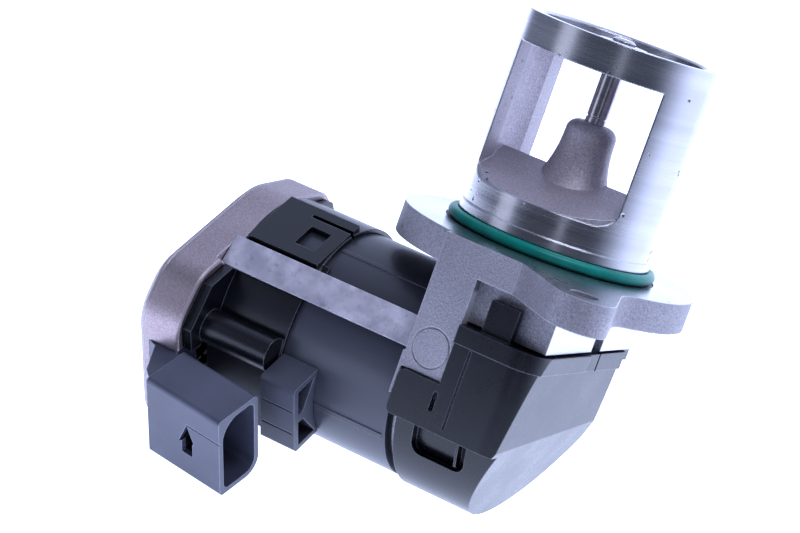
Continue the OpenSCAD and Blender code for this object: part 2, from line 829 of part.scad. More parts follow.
// Toothed sector with the crank's arm on the far side of its hub
module sector_gear() {
    pitch = 360 / sector_teeth;
    spare = 9;
    first = -floor((swing + spare) / pitch);
    last = floor(spare / pitch);
    pitch_r = slow_module * sector_teeth / 2;
    root_r = pitch_r - 1.25 * slow_module;
    start = crank_to_idler + (first - 0.5) * pitch;
    end = crank_to_idler + (last + 0.5) * pitch;
    hub_r = crank_shaft_r + 2.6;
    eye_r = crank_pin_r + 1.7;
    color("#7c6a52") difference() {
        at_crank() along_x(slow_left, slow_right) {
            circle(hub_r);
            gear_teeth(slow_module, sector_teeth, crank_to_idler, first, last);
            polygon(concat([[0, 0]], [for (i = [0:12]) polar(root_r, start + (end - start) * i / 12)]));
            rotate(-half_swing) {
                translate([crank_throw, 0]) circle(eye_r);
                translate([0, -eye_r]) square([crank_throw, 2 * eye_r]);
            }
        }
        at_crank() bar_x(crank_shaft_r + press_fit, slow_left - cut, slow_right + cut);
        translate([0, pin_rest_y, pin_rest_z]) bar_x(crank_pin_r + press_fit, slow_left - cut, slow_right + cut);
        // Hole for the return spring's leg
        at_crank() rotate([crank_to_idler - swing / 2, 0, 0]) translate([0, spring_r, 0])
            bar_x(spring_wire / 2 + 0.15, slow_left - cut, slow_right + cut);
        // Lightening window in the sector's web
        at_crank() rotate([crank_to_idler - swing / 2, 0, 0]) translate([0, root_r - 4.2, 0])
            bar_x(2, slow_left - cut, slow_right + cut);
    }
}

module crank_bushes() {
    color("#a08a5c") at_crank() {
        tube_x(crank_bush_r - press_fit, crank_shaft_r + running_fit, wall_left + 1.8, wall_right);
        tube_x(crank_bush_r - press_fit, crank_shaft_r + running_fit, lug_left, lug_right);
    }
}

// Round wire along a list of points: a ring of corners per point, closed at both ends
module wire(points, r, sides) {
    count = len(points);
    tangents = [for (i = [0:count - 1])
        let (d = points[min(i + 1, count - 1)] - points[max(i - 1, 0)])
        d / norm(d)];
    corners = [for (i = [0:count - 1])
        let (
            t = tangents[i],
            side_raw = cross(t, [1, 0.02, 0.01]),
            side = side_raw / norm(side_raw),
            up = cross(t, side)
        )
        for (k = [0:sides - 1]) points[i] + r * (cos(360 * k / sides) * side + sin(360 * k / sides) * up)];
    faces = concat(
        [[for (k = [0:sides - 1]) k]],
        [for (i = [0:count - 2]) for (k = [0:sides - 1])
            [i * sides + k, (i + 1) * sides + k, (i + 1) * sides + (k + 1) % sides]],
        [for (i = [0:count - 2]) for (k = [0:sides - 1])
            [i * sides + k, (i + 1) * sides + (k + 1) % sides, i * sides + (k + 1) % sides]],
        [[for (k = [sides - 1:-1:0]) (count - 1) * sides + k]]
    );
    polyhedron(corners, faces);
}

// Points of a coil about X, from x0 to x1, starting at angle a0
function coil_points(r, x0, x1, a0, turns, steps) =
    [for (i = [0:round(turns * steps)])
        let (s = i / round(turns * steps), a = a0 + 360 * turns * s)
        [x0 + (x1 - x0) * s, r * cos(a), r * sin(a)]];

module return_spring() {
    turns = 3.5;
    x0 = slow_right + spring_wire / 2 + 0.15;
    x1 = lug_left - spring_wire / 2 - 0.15;
    start = crank_to_idler - swing / 2;
    end = start + 360 * turns;
    leg_in = [[slow_left + 0.6, spring_r * cos(start), spring_r * sin(start)]];
    leg_out = [[lug_left + 1.4, spring_r * cos(end), spring_r * sin(end)]];
    color("#6f7178") at_crank()
        wire(concat(leg_in, coil_points(spring_r, x0, x1, start, turns, 20), leg_out), spring_wire / 2, 8);
}

module idler_pin() {
    color("#9b9da5") at_idler() bar_x(idler_pin_r - press_fit, wall_left + 1.6, fast_right + 2.6);
}

module idler_pinion() {
    pitch = 360 / idler_pinion_teeth;
    color("#8d8f96") at_idler() difference() {
        union() {
            along_x(slow_left, slow_right + 0.2)
                gear_shape(slow_module, idler_pinion_teeth, idler_to_crank + pitch / 2);
            bar_x(idler_hub_r, slow_left - 0.6, fast_right + 0.3);
        }
        bar_x(idler_pin_r + running_fit, slow_left - cut, fast_right + cut);
    }
}

module idler_wheel() {
    hub_r = idler_hub_r + press_fit;
    rim_in = fast_module * (wheel_teeth / 2 - 1.25) - 2;
    web_t = 1.6;
    color("#4a3b2f") at_idler() difference() {
        along_x(fast_left, fast_right) gear_shape(fast_module, wheel_teeth, idler_to_motor);
        bar_x(hub_r, fast_left - cut, fast_right + cut);
        for (side = [0, 1]) {
            x0 = side == 0 ? fast_left - cut : fast_left + (gear_w + web_t) / 2;
            tube_x(rim_in, hub_r + 1.4, x0, x0 + (gear_w - web_t) / 2 + cut);
        }
        for (k = [0:5]) {
            rotate([60 * k, 0, 0]) translate([0, (rim_in + hub_r + 1.4) / 2, 0])
                bar_x(1, fast_left - cut, fast_right + cut);
        }
    }
}

module motor_pinion() {
    pitch = 360 / pinion_teeth;
    color("#c2b280") at_motor() difference() {
        along_x(fast_left, fast_right) gear_shape(fast_module, pinion_teeth, motor_to_idler + pitch / 2);
        bar_x(motor_shaft_r + press_fit, fast_left - cut, fast_right + cut);
    }
}

module motor_shaft() {
    color("#a9abb3") at_motor() bar_x(motor_shaft_r, shaft_left, motor_shaft_right);
}

module armature_core() {
    color("#5c5f68") at_motor() difference() {
        bar_x(core_r, core_left, core_right);
        bar_x(motor_shaft_r + press_fit, core_left - cut, core_right + cut);
        for (k = [0:slot_count - 1]) {
            rotate([360 * k / slot_count, 0, 0]) {
                translate([0, slot_ring, 0]) bar_x(slot_r, core_left - cut, core_right + cut);
                box(core_left - cut, core_right + cut, slot_ring, core_r + cut, -slot_mouth / 2, slot_mouth / 2);
            }
        }
    }
}

module armature_windings() {
    color("#b5652d") at_motor() {
        for (k = [0:slot_count - 1]) {
            rotate([360 * k / slot_count, 0, 0]) translate([0, slot_ring, 0])
                bar_x(slot_r - winding_play, core_left - cut, core_right + cut);
        }
        for (x0 = [core_left - winding_t, core_right + 0.1]) {
            translate([x0, 0, 0]) rotate([0, 90, 0]) rotate_extrude()
                rounded_rect(motor_shaft_r + 3, winding_r, 0, winding_t - 0.1, 1.4);
        }
    }
}

module commutator() {
    color("#b8793f") at_motor() difference() {
        bar_x(commutator_r, commutator_left, commutator_right);
        bar_x(motor_shaft_r + press_fit, commutator_left - cut, commutator_right + cut);
        for (k = [0:commutator_bars - 1]) {
            rotate([360 * (k + 0.5) / commutator_bars, 0, 0])
                box(commutator_left - cut, commutator_right - 0.8, commutator_r - 1.2, commutator_r + cut, -0.3, 0.3);
        }
    }
}

module sensor_magnet() {
    color("#4d4f57") at_motor() tube_x(motor_shaft_r + 2.4, motor_shaft_r + press_fit, shaft_left, shaft_left + magnet_h);
}

module motor_can() {
    in_r = can_r - can_wall;
    color("#3a3b42") at_motor() difference() {
        union() {
            bar_x(can_r, can_left, can_right);
            bar_x(nose_r, can_right - cut, nose_right);
            // Seam of the flux sleeve and the rib on the connector's side
            rotate([90 + clock_angle, 0, 0]) box(collar_right + 0.6, can_right - 5, can_r - 0.6, can_r + 0.25, -0.6, 0.6);
            rotate([180 + clock_angle, 0, 0])
                box(collar_right + block_len + 0.3, can_right - 1, can_r - 0.6, can_r + 0.3, -0.8, 0.8);
        }
        bar_x(in_r, can_left - cut, can_right - can_end_t);
        bar_x(bearing_r, can_right - can_end_t - cut, nose_right - 1);
        bar_x(motor_shaft_r + 0.6, can_right - cut, nose_right + cut);
    }
}

module field_magnets() {
    half_span = 66;
    color("#4b4d55") at_motor() for (turn = [0, 180]) {
        rotate([clock_angle + turn, 0, 0]) intersection() {
            tube_x(magnet_out_r, magnet_in_r, core_left - 3, core_right + 3);
            along_x(core_left - 3, core_right + 3)
                polygon([[0, 0], polar(60, -half_span), polar(75, 0), polar(60, half_span)]);
        }
    }
}

module front_bearing() {
    color("#a08a5c") at_motor()
        tube_x(bearing_r - press_fit, motor_shaft_r + running_fit, can_right - can_end_t + 0.2, nose_right - 1.01);
}

module rear_bearing() {
    color("#a08a5c") at_motor()
        tube_x(bearing_r - press_fit, motor_shaft_r + running_fit, rear_bearing_left + 0.2, rear_bearing_right);
}

// Plastic plate with two boxes that hold the brushes against the commutator
module brush_holder() {
    color("#57504a") clocked() difference() {
        union() {
            bar_x(brush_plate_r, brush_plate_right - brush_plate_t, brush_plate_right);
            for (side = [0, 1]) {
                mirror([0, side, 0]) box(brush_plate_right - 0.1, commutator_right - 0.2, commutator_r + 1,
                    brush_box_reach, -3.6, 3.6);
            }
        }
        bar_x(commutator_r + 0.8, brush_plate_right - brush_plate_t - cut, commutator_right);
        for (side = [0, 1]) {
            mirror([0, side, 0]) box(brush_plate_right + 0.6, commutator_right - 0.8, commutator_r,
                brush_box_reach - brush_box_end_t, -2.5, 2.5);
        }
    }
}

module brushes() {
    color("#2f3034") clocked() for (side = [0, 1]) {
        mirror([0, side, 0]) difference() {
            box(brush_plate_right + 0.7, commutator_right - 0.9, commutator_r - 1, commutator_r + 7, -2.4, 2.4);
            bar_x(commutator_r + 0.1, brush_plate_right, commutator_right);
        }
    }
}

module brush_springs() {
    mid = (brush_plate_right + commutator_right) / 2;
    back = brush_box_reach - brush_box_end_t;
    color("#9b9da5") clocked() for (side = [0, 180]) {
        rotate([side, 0, 0]) translate([mid, 0, 0]) rotate([0, 0, 90])
            wire(coil_points(1.7, commutator_r + 7.3, back - 0.3, 0, 4, 12), 0.2, 6);
    }
}

module motor_gasket() {
    color("#232326") at_motor() tube_x(motor_wall_r - 0.3, motor_wall_r - 5, can_right, wall_left);
}

// Outline of the end cap in the clocked frame, away from the motor first
module cap_outline(inset) {
    w = cap_half_w - inset;
    front = cap_front - inset;
    slant = inset * 0.42;
    for (mirrored = [0, 1]) {
        mirror([0, mirrored]) polygon([
            [front, -0.1], [front, cap_front_half - slant], [cap_side_front - slant, w], [cap_side_back + slant, w],
            [cap_corner_u + slant, cap_corner_half - inset * 0.7], [cap_back + inset, cap_back_half - slant],
            [cap_back + inset, -0.1]
        ]);
    }
}

module end_cap() {
    lean = 1.2;
    color("#c9c5cf") difference() {
        clocked() union() {
            along_x(cap_left + cap_chamfer, cap_right) cap_outline(0);
            hull() {
                along_x(cap_left + cap_chamfer, cap_left + cap_chamfer + 0.1) cap_outline(0);
                along_x(cap_left, cap_left + 0.1) cap_outline(cap_chamfer * lean);
            }
        }
        clocked() along_x(cap_left + 3, cap_right + cut) cap_outline(cap_wall);
        // Notch for the connector's neck
        clocked() box(neck_left - seat_gap, cap_right + cut, cap_front - cap_wall - cut, cap_front + cut,
            -notch_half_w - seat_gap, notch_half_w + seat_gap);
        // Notches in the rim for the straps' hooks
        at_straps() box(strap_left - strap_play, cap_right + cut, strap_in - strap_hook - strap_play, 2 * can_r,
            -strap_w / 2 - strap_play, strap_w / 2 + strap_play);
    }
}

module motor_collar() {
    bulge_r = 4.5;
    bulge_u = can_r + 1.6;
    bulge_t = -12;
    bulge_right = collar_right - 0.6;
    window_x = collar_right - 10.2;
    color("#26272c") difference() {
        union() {
            clocked() {
                bar_x(collar_r, collar_left, collar_right);
                // Flat pad that carries the latch window
                box(collar_left + 1, collar_right - 0.4, -9, 10, -latch_face, -can_r + 4);
                // Plate behind the end cap and its spigot
                along_x(collar_left, collar_left + plate_t) cap_outline(2.4);
                along_x(collar_left - spigot_t, collar_left + 0.1) cap_outline(cap_wall + 0.25);
                // Bulge over the choke and the web that ties it to the collar
                translate([0, bulge_u, bulge_t]) bar_x(bulge_r, collar_left + 1, bulge_right);
                box(collar_left + 1, bulge_right, can_r - 1, bulge_u + bulge_r - 1.4, bulge_t + 1, 11);
                // Tongue on the collar's edge
                rotate([-66, 0, 0]) box(collar_right - 2, collar_right + 2, collar_in_r + 0.1, collar_r - 0.2, -4, 4);
            }
            at_motor() bar_x(bearing_r + 2, collar_left, rear_bearing_right + 0.4);
            // Pads under the straps
            at_straps() box(collar_left + 3, collar_right - 0.8, can_r, strap_in - 0.05, -strap_w / 2 + 0.5, strap_w / 2 - 0.5);
        }
        at_motor() bar_x(collar_in_r, collar_left + plate_t + 0.4, collar_right + 10);
        at_motor() bar_x(bearing_r, rear_bearing_left, rear_bearing_right + cut);
        at_motor() bar_x(motor_shaft_r + 0.5, collar_left - spigot_t - cut, rear_bearing_right);
        clocked() {
            // Latch window and snap-arm slot in the flat pad
            box(window_x, window_x + 6, -1.8, 6, -latch_face - cut, -can_r + cut);
            box(collar_right - 12.5, collar_right + cut, -6.1, -4.9, -latch_face - cut, -can_r + 2);
            // Neck opening in the plate
            box(collar_left - spigot_t - cut, collar_left + plate_t + cut, pin_foot_u - 1, cap_front + 1,
                -notch_half_w, notch_half_w);
        }
        // Flat beds for the straps and slots for their hooks
        at_straps() {
            box(strap_left, collar_right + cut, strap_in - 0.05, 2 * can_r,
                -strap_w / 2 - strap_play, strap_w / 2 + strap_play);
            box(strap_left, strap_left + strap_t + strap_play, strap_in - strap_hook - strap_play, 2 * can_r,
                -strap_w / 2 - strap_play, strap_w / 2 + strap_play);
        }
    }
}

// Two-cavity block beside the connector
module terminal_block() {
    x0 = collar_right + 0.05;
    x1 = x0 + block_len;
    cavity_in = block_in + 1.7;
    cavity_out = block_out - 1.8;
    rib = 1.2;
    wide = block_half_w - 1.5;
    color("#54565f") clocked() difference() {
        along_x(x0, x1) rounded_rect(can_r - 4, block_out, -block_half_w, block_half_w, 1.5);
        bar_x(block_in, x0 - cut, x1 + cut);
        // Two cavities, each narrowing along the can towards the rib between them
        for (side = [0, 1]) {
            along_x(x0 + 1.6, x1 + cut) mirror([0, side]) polygon([
                [cavity_out, rib], [cavity_out, wide], [cavity_in - 2.2, wide], [cavity_out - 2, rib]
            ]);
        }
        for (t = [-3.2, 4.2]) {
            box(x0 + 0.4, x1 - 0.6, block_out - 0.35, block_out + cut, t - 0.2, t + 0.2);
        }
    }
}

// Hook of a strap: its end bent towards the can
module strap_hook_at(x0) {
    box(x0, x0 + strap_t, strap_in - strap_hook, strap_in + 0.1, -strap_w / 2, strap_w / 2);
}

module clamp_straps() {
    color("#b4b8c6") for (turn = [0, 180]) {
        right = turn == 0 ? strap_right_front : strap_right_back;
        at_strap(turn) {
            box(strap_left, right, strap_in, strap_in + strap_t, -strap_w / 2, strap_w / 2);
            strap_hook_at(strap_left);
            if (turn == 180) strap_hook_at(strap_right_back - strap_t);
        }
    }
}

module sensor_board() {
    color("#2f5a3c") clocked() difference() {
        box(board_right - board_t, board_right, -12, neck_foot - 0.6, -notch_half_w, notch_half_w);
        box(board_right - board_t - cut, board_right + cut, neck_foot - 6, cap_front, -notch_half_w - cut,
            -notch_half_w + 0.8);
    }
}

// Plug socket with the neck that carries its pins into the end cap
module connector_housing() {
    color("#1d1e22") clocked() difference() {
        union() {
            tilted() along_x(plug_back, plug_front) shroud_shape(0, 1.2);
            // Neck out of the cap's notch and the gusset to the shroud's back
            translate([0, 0, -notch_half_w]) linear_extrude(2 * notch_half_w) polygon([
                [neck_left, neck_foot], [neck_right, neck_foot], [neck_right, cap_front + 0.1],
                [plug_back + 4, plug_in + 1.2], [plug_back + 4, plug_out - 1.2], [plug_back - 1, plug_out - 1.2],
                [pin_bend_x - 1.6, pin_mid_u + 1.2], [neck_left + 2.5, cap_front + 1], [neck_left, cap_front]
            ]);
        }
        // D-shaped socket
        tilted() along_x(plug_front - socket_depth, plug_front + cut) difference() {
            shroud_shape(plug_wall, 2);
            socket_corner();
        }
        // Latch hole, shaped like an arrow, and the groove from its tip to the mouth
        tilted() along_y(plug_out - plug_wall - cut, plug_out + cut) {
            polygon([[plug_back + 13.4, -4.9], [plug_back + 10.7, 1.5], [plug_back + 15.8, 0.3]]);
            polygon([
                [plug_back + 11.6, 1], [plug_back + 15.2, 0.1], [plug_back + 15.2, 4.8], [plug_back + 11.6, 4.8]
            ]);
        }
        tilted() box(plug_back + 13.4, plug_front + cut, plug_out - 0.35, plug_out + cut, -5.2, -4.8);
        // Slots for the pins
        for (i = [0:pin_count - 1]) {
            pin_path((i - (pin_count - 1) / 2) * pin_pitch, pin_w / 2 + press_fit);
        }
    }
}

// Where a point of the untilted shroud in (x, u) comes to lie
function tipped(x, u) = [
    plug_back + (x - plug_back) * cos(plug_tilt) - (u - plug_in) * sin(plug_tilt),
    plug_in + (x - plug_back) * sin(plug_tilt) + (u - plug_in) * cos(plug_tilt)
];

// Tips the shroud about the lower edge of its back
module tilted() {
    translate([plug_back, plug_in, 0]) rotate([0, 0, plug_tilt]) translate([-plug_back, -plug_in, 0]) children();
}

// Section of the shroud: a rounded box with one large corner towards the can
module shroud_shape(inset, r) {
    big = plug_corner_r - inset;
    u = plug_in + inset;
    t = plug_w / 2 - inset;
    difference() {
        rounded_rect(u, plug_out - inset, -t, t, r);
        difference() {
            translate([u - cut, t - big]) square([big + cut, big + cut]);
            translate([u + big, t - big]) circle(big);
        }
    }
}

// Large radius in the outer corner of the socket
module socket_corner() {
    r = 6;
    u = plug_out - plug_wall;
    t = -plug_w / 2 + plug_wall;
    difference() {
        translate([u - r, t - cut]) square([r + cut, r + cut]);
        translate([u - r, t + r]) circle(r);
    }
}

// One contact pin: a blade in the socket, bent down the neck and across to the board
module pin_path(t, half) {
    tip = plug_front - 7;
    tip_out = tipped(tip, pin_mid_u + half);
    tip_in = tipped(tip, pin_mid_u - half);
    bend_left = pin_bend_x - half;
    bend_right = pin_bend_x + half;
    translate([0, 0, t - half]) linear_extrude(2 * half) polygon([
        tip_out,
        [bend_left, tip_out[1] - (tip_out[0] - bend_left) * tan(plug_tilt)],
        [bend_left, pin_foot_u + half],
        [board_right, pin_foot_u + half],
        [board_right, pin_foot_u - half],
        [bend_right, pin_foot_u - half],
        [bend_right, tip_in[1] - (tip_in[0] - bend_right) * tan(plug_tilt)],
        tip_in
    ]);
}

module connector_pins() {
    color("#c9b458") clocked() for (i = [0:pin_count - 1]) {
        pin_path((i - (pin_count - 1) / 2) * pin_pitch, pin_w / 2);
    }
}

module gear_cover() {
    pin_boss_right = fast_right + 6;
    color("#2a2b33") difference() {
        union() {
            difference() {
                union() {
                    cover_form(0, cover_edge, cover_top);
                    panel_form(0, panel_left, cover_top);
                    rim_band();
                }
                cover_form(cover_wall, cover_edge - cut, cover_top + cut);
                panel_form(cover_wall, panel_left + cover_wall, cover_top - cover_wall);
            }
            // Foot over the casting's front pillar
            along_y(foot_front, foot_back)
                rounded_rect(foot_left, panel_left + 1, -panel_drop, foot_top, 1.8);
            // Snap tongue in the casting's pocket
            box(6.3, 14.2, -front_reach + 0.4, -front_reach + 2.7, cover_top - 3, -flange_t - 3);
            // Thicker wall behind the recess
            intersection() {
                cover_form(0.5, wall_right + 0.3, cover_top);
                at_motor() along_x(wall_right + 0.3, recess_right + 1.2) difference() {
                    polygon([[0, 0], polar(40, 186), polar(45, 201), polar(40, 219)]);
                    circle(cover_r - recess_depth - 1.4);
                }
            }
            // Boss that steadies the idler's pin
            intersection() {
                at_idler() bar_x(idler_pin_r + 2, fast_right + 0.8, cover_reach);
                cover_form(0.5, cover_edge, cover_top);
            }
            // Tab at the back of the rim, bent up behind the block
            box(14, block_right - 1.3, block_back - 1, block_back + 3.4, cover_top - 3, cover_top);
            box(14, block_right - 1.3, block_back + seat_gap, block_back + 3.4, cover_top - 1, joint_z + 1.6);
        }
        at_idler() bar_x(idler_pin_r + running_fit, fast_right, fast_right + 3);
        // Room for the casting's front pillar
        box(cover_edge - cut, panel_left, -front_reach - 0.3, motor_y, motor_z - 1.3, cover_top + cut);
        // Slot in the foot
        along_y(foot_front - cut, foot_front + 1.4) rounded_rect(0.7, 1.9, -42, -37, 0.55);
        // Recess under the panel, with a thin rib near its right end
        difference() {
            along_y(-panel_reach, motor_y) difference() {
                rounded_rect(recess_left, recess_right, recess_bottom, recess_bottom + 16, 2.6);
                translate([recess_left - cut, -panel_drop]) square([4 * cover_r, 2 * cover_r]);
                translate([recess_right - 2.8, recess_bottom + 1.2]) square([0.7, 2 * cover_r]);
            }
            at_motor() bar_x(cover_r - recess_depth, recess_left - cut, recess_right + cut);
        }
        // Groove beside the panel's left band
        box(5.8, 6.4, -panel_reach - cut, -panel_reach + 0.5, -45, cover_top - 5.2);
        // Slot of the hook on the right face
        box(cover_reach - 1.6, cover_reach + cut, -2.2, -1.4, cover_top - 4.6, cover_top + cut);
    }
}

module cover_seal() {
    inset = 1.6;
    lip = 1;
    color("#19191b") intersection() {
        difference() {
            cover_form(inset, panel_left + 0.2, joint_z);
            cover_form(inset + lip, panel_left - cut, joint_z + cut);
        }
        box(-cover_r, 2 * cover_reach, -2 * front_reach, 2 * front_reach, cover_top, joint_z);
    }
}

valve_housing();
seat_ring();
stem_bush();
stem_seal();
o_ring();
valve_disc();
valve_stem();
stem_yoke();
crank_shaft();
crank_pin();
sector_gear();
crank_bushes();
return_spring();
idler_pin();
idler_pinion();
idler_wheel();
motor_pinion();
motor_shaft();
armature_core();
armature_windings();
commutator();
sensor_magnet();
motor_can();
field_magnets();
front_bearing();
rear_bearing();
brush_holder();
brushes();
brush_springs();
motor_gasket();
motor_collar();
terminal_block();
clamp_straps();
end_cap();
sensor_board();
connector_housing();
connector_pins();
gear_cover();
cover_seal();
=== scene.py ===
# %% [markdown]
# # An exhaust gas recirculation valve
#
# The real object is a small machine: a cage with a poppet in it stands on a flange, a rough casting hangs
# below the flange, a black cover closes the gear train, and an electric motor lies to one side with a plug
# socket at its end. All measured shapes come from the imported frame, so this lesson is about looks: the
# camera, the light, a finish for every material, and the small forms that make the metal look cast, turned
# or moulded.

import json
import math

import bmesh
import bpy
from mathutils import Matrix, Vector


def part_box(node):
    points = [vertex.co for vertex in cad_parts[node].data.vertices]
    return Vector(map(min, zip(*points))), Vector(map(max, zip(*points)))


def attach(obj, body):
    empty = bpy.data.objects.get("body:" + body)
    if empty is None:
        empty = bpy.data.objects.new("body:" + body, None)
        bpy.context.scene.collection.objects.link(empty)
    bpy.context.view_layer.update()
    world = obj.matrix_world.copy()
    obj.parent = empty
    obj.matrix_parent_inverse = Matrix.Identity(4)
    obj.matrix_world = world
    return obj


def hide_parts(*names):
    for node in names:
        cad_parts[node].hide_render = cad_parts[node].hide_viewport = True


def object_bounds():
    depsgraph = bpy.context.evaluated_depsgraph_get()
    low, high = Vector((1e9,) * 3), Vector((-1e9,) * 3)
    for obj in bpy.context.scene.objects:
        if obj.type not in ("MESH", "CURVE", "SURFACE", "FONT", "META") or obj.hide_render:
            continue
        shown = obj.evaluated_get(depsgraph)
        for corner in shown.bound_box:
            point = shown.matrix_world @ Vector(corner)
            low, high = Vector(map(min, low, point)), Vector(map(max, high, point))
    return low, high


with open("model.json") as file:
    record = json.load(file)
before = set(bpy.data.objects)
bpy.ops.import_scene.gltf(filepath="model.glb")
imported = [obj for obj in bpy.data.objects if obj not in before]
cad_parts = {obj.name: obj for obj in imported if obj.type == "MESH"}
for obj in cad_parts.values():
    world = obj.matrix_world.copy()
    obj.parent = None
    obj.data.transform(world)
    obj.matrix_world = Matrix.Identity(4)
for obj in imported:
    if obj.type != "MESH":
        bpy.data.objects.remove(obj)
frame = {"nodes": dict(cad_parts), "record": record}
cad_low, cad_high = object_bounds()
MM = 0.001
print("nodes:", len(frame["nodes"]), "size in mm:", [round(v / MM, 1) for v in cad_high - cad_low])

# %% [markdown]
# ## The camera
#
# The photograph was taken with a long lens, a little from the right and from above, and the object leans to
# the right in the picture. A lean is a roll: the camera's own x and y axes turn about the line of sight.
# Building the camera's matrix from those axes is plainer than aiming it with a constraint, and the roll
# comes out exactly.

# %% Camera axes
AZIMUTH = math.radians(24.42)
ELEVATION = math.radians(9.28)
ROLL = math.radians(19.5)
toward_camera = Vector((
    math.sin(AZIMUTH) * math.cos(ELEVATION),
    -math.cos(AZIMUTH) * math.cos(ELEVATION),
    math.sin(ELEVATION),
))
level = Vector((math.cos(AZIMUTH), math.sin(AZIMUTH), 0))
upright = toward_camera.cross(level)
camera_x = level * math.cos(ROLL) + upright * math.sin(ROLL)
camera_y = upright * math.cos(ROLL) - level * math.sin(ROLL)

# %% Camera
PICTURE_WIDTH = 800
FOCAL_PIXELS = 2589.6
SENSOR = 36
LOOK_SIDEWAYS = -34.095
LOOK_UP = -17.256
DISTANCE = 657.53
camera_data = bpy.data.cameras.new("camera")
camera_data.sensor_width = SENSOR
camera_data.lens = SENSOR * FOCAL_PIXELS / PICTURE_WIDTH
camera_data.clip_start = 0.05
camera_data.clip_end = 200
camera = bpy.data.objects.new("camera", camera_data)
bpy.context.scene.collection.objects.link(camera)
look_at = level * LOOK_SIDEWAYS * MM + Vector((0, 0, LOOK_UP * MM))
camera.matrix_world = Matrix.Translation(look_at + toward_camera * DISTANCE * MM) @ Matrix((
    camera_x, camera_y, toward_camera)).transposed().to_4x4()
bpy.context.scene.camera = camera
print("lens in mm:", round(camera_data.lens, 1))

# %% [markdown]
# ## Floor and light
#
# Such a picture is taken on a white table in a tent of white cloth that is lit far brighter than the object.
# Only the side where the camera stands is dark. That one fact explains most of what the eye sees: faces
# turned to the camera are dark, faces turned aside are bright, and a turned cylinder shows a dark band
# between two bright ones. So the world shader is bright all round and falls off towards the camera's side,
# and the table ends a hand's width in front of the object. A floor without an end would be mirrored in every
# upright wall and wash that dark band out.

# %% Floor
def new_object(name, mesh):
    made = bpy.data.objects.new(name, mesh)
    bpy.context.scene.collection.objects.link(made)
    return made


def floor_disc(radius, centre):
    form = bmesh.new()
    bmesh.ops.create_circle(form, cap_ends=True, segments=128, radius=radius)
    bmesh.ops.translate(form, vec=centre, verts=form.verts)
    mesh = bpy.data.meshes.new("floor")
    form.to_mesh(mesh)
    form.free()
    return mesh


TABLE_RADIUS = 0.6
TABLE_FRONT = 0.2
away = Vector((-toward_camera.x, -toward_camera.y, 0)).normalized()
table_centre = away * (TABLE_RADIUS - TABLE_FRONT)
table_centre.z = cad_low.z - 0.0002
floor = new_object("floor", floor_disc(TABLE_RADIUS, table_centre))

# %% Floor finish
floor_look = bpy.data.materials.new("floor_look")
floor_look.use_nodes = True
floor_shader = floor_look.node_tree.nodes["Principled BSDF"]
floor_shader.inputs["Base Color"].default_value = (0.84, 0.86, 0.92, 1)
floor_shader.inputs["Roughness"].default_value = 0.9
floor_shader.inputs["Emission Color"].default_value = (0.68, 0.76, 1, 1)
floor_shader.inputs["Emission Strength"].default_value = 1.6
floor.data.materials.append(floor_look)

# %% World light
BRIGHT_SIDE = 2.1
CAMERA_SIDE = 0.16
world = bpy.data.worlds.new("light_tent")
bpy.context.scene.world = world
world.use_nodes = True
sky = world.node_tree
background = sky.nodes["Background"]
background.inputs["Color"].default_value = (0.64, 0.72, 1, 1)
direction = sky.nodes.new("ShaderNodeTexCoord")


def lobe(toward, low, high, at_low, at_high):
    facing = sky.nodes.new("ShaderNodeVectorMath")
    facing.operation = "DOT_PRODUCT"
    facing.inputs[1].default_value = Vector(toward).normalized()
    falloff = sky.nodes.new("ShaderNodeMapRange")
    falloff.interpolation_type = "SMOOTHSTEP"
    for key, value in (("From Min", low), ("From Max", high), ("To Min", at_low), ("To Max", at_high)):
        falloff.inputs[key].default_value = value
    sky.links.new(direction.outputs["Generated"], facing.inputs[0])
    sky.links.new(facing.outputs["Value"], falloff.inputs["Value"])
    return falloff.outputs["Result"]


def times(first, second):
    product = sky.nodes.new("ShaderNodeMath")
    product.operation = "MULTIPLY"
    sky.links.new(first, product.inputs[0])
    sky.links.new(second, product.inputs[1])
    return product.outputs["Value"]


# %% A black card on the left and a thinner cloth above
tent = lobe(toward_camera, -0.25, 0.75, BRIGHT_SIDE, CAMERA_SIDE)
card_left = lobe(-level + away * 0.35, 0.55, 0.9, 1, 0.16)
cloth_above = lobe(upright - level * 0.5 + away * 0.3, 0.35, 0.85, 1, 0.62)
tent_light = times(times(tent, card_left), cloth_above)

# %% [markdown]
# ## The backdrop
#
# The dark side of the tent would also be seen behind the object when it is looked at from the back. What
# lights the object stays the tent, and what is seen straight behind it is pale paper all round. The Light
# Path node tells the two apart, so no light on the object changes.

# %% A pale backdrop on every side
ray = sky.nodes.new("ShaderNodeLightPath")
backdrop = sky.nodes.new("ShaderNodeMix")
backdrop.inputs["B"].default_value = BRIGHT_SIDE
sky.links.new(ray.outputs["Is Camera Ray"], backdrop.inputs["Factor"])
sky.links.new(tent_light, backdrop.inputs["A"])
sky.links.new(backdrop.outputs["Result"], background.inputs["Strength"])

# %% Soft boxes
def soft_box(name, place, aim, width, height, power):
    light = bpy.data.lights.new(name, "AREA")
    light.shape = "RECTANGLE"
    light.size = width
    light.size_y = height
    light.energy = power
    light.color = (0.78, 0.82, 1)
    made = bpy.data.objects.new(name, light)
    bpy.context.scene.collection.objects.link(made)
    made.location = place
    made.rotation_mode = "QUATERNION"
    made.rotation_quaternion = (Vector(place) - Vector(aim)).to_track_quat("Z", "Y")
    return made


middle = (cad_low + cad_high) / 2
nearer = -away
soft_box("soft_box_above", middle + level * 0.15 + nearer * 0.4 + Vector((0, 0, 0.6)), middle, 0.5, 0.35, 3.2)
soft_box("soft_box_left", middle - level * 0.7 + nearer * 0.28 + Vector((0, 0, 0.05)), middle, 0.3, 0.7, 0.5)
soft_box("fill_strip", middle + nearer * 1.0 + level * 0.05 + Vector((0, 0, 0.05)), middle, 0.14, 0.7, 0.16)

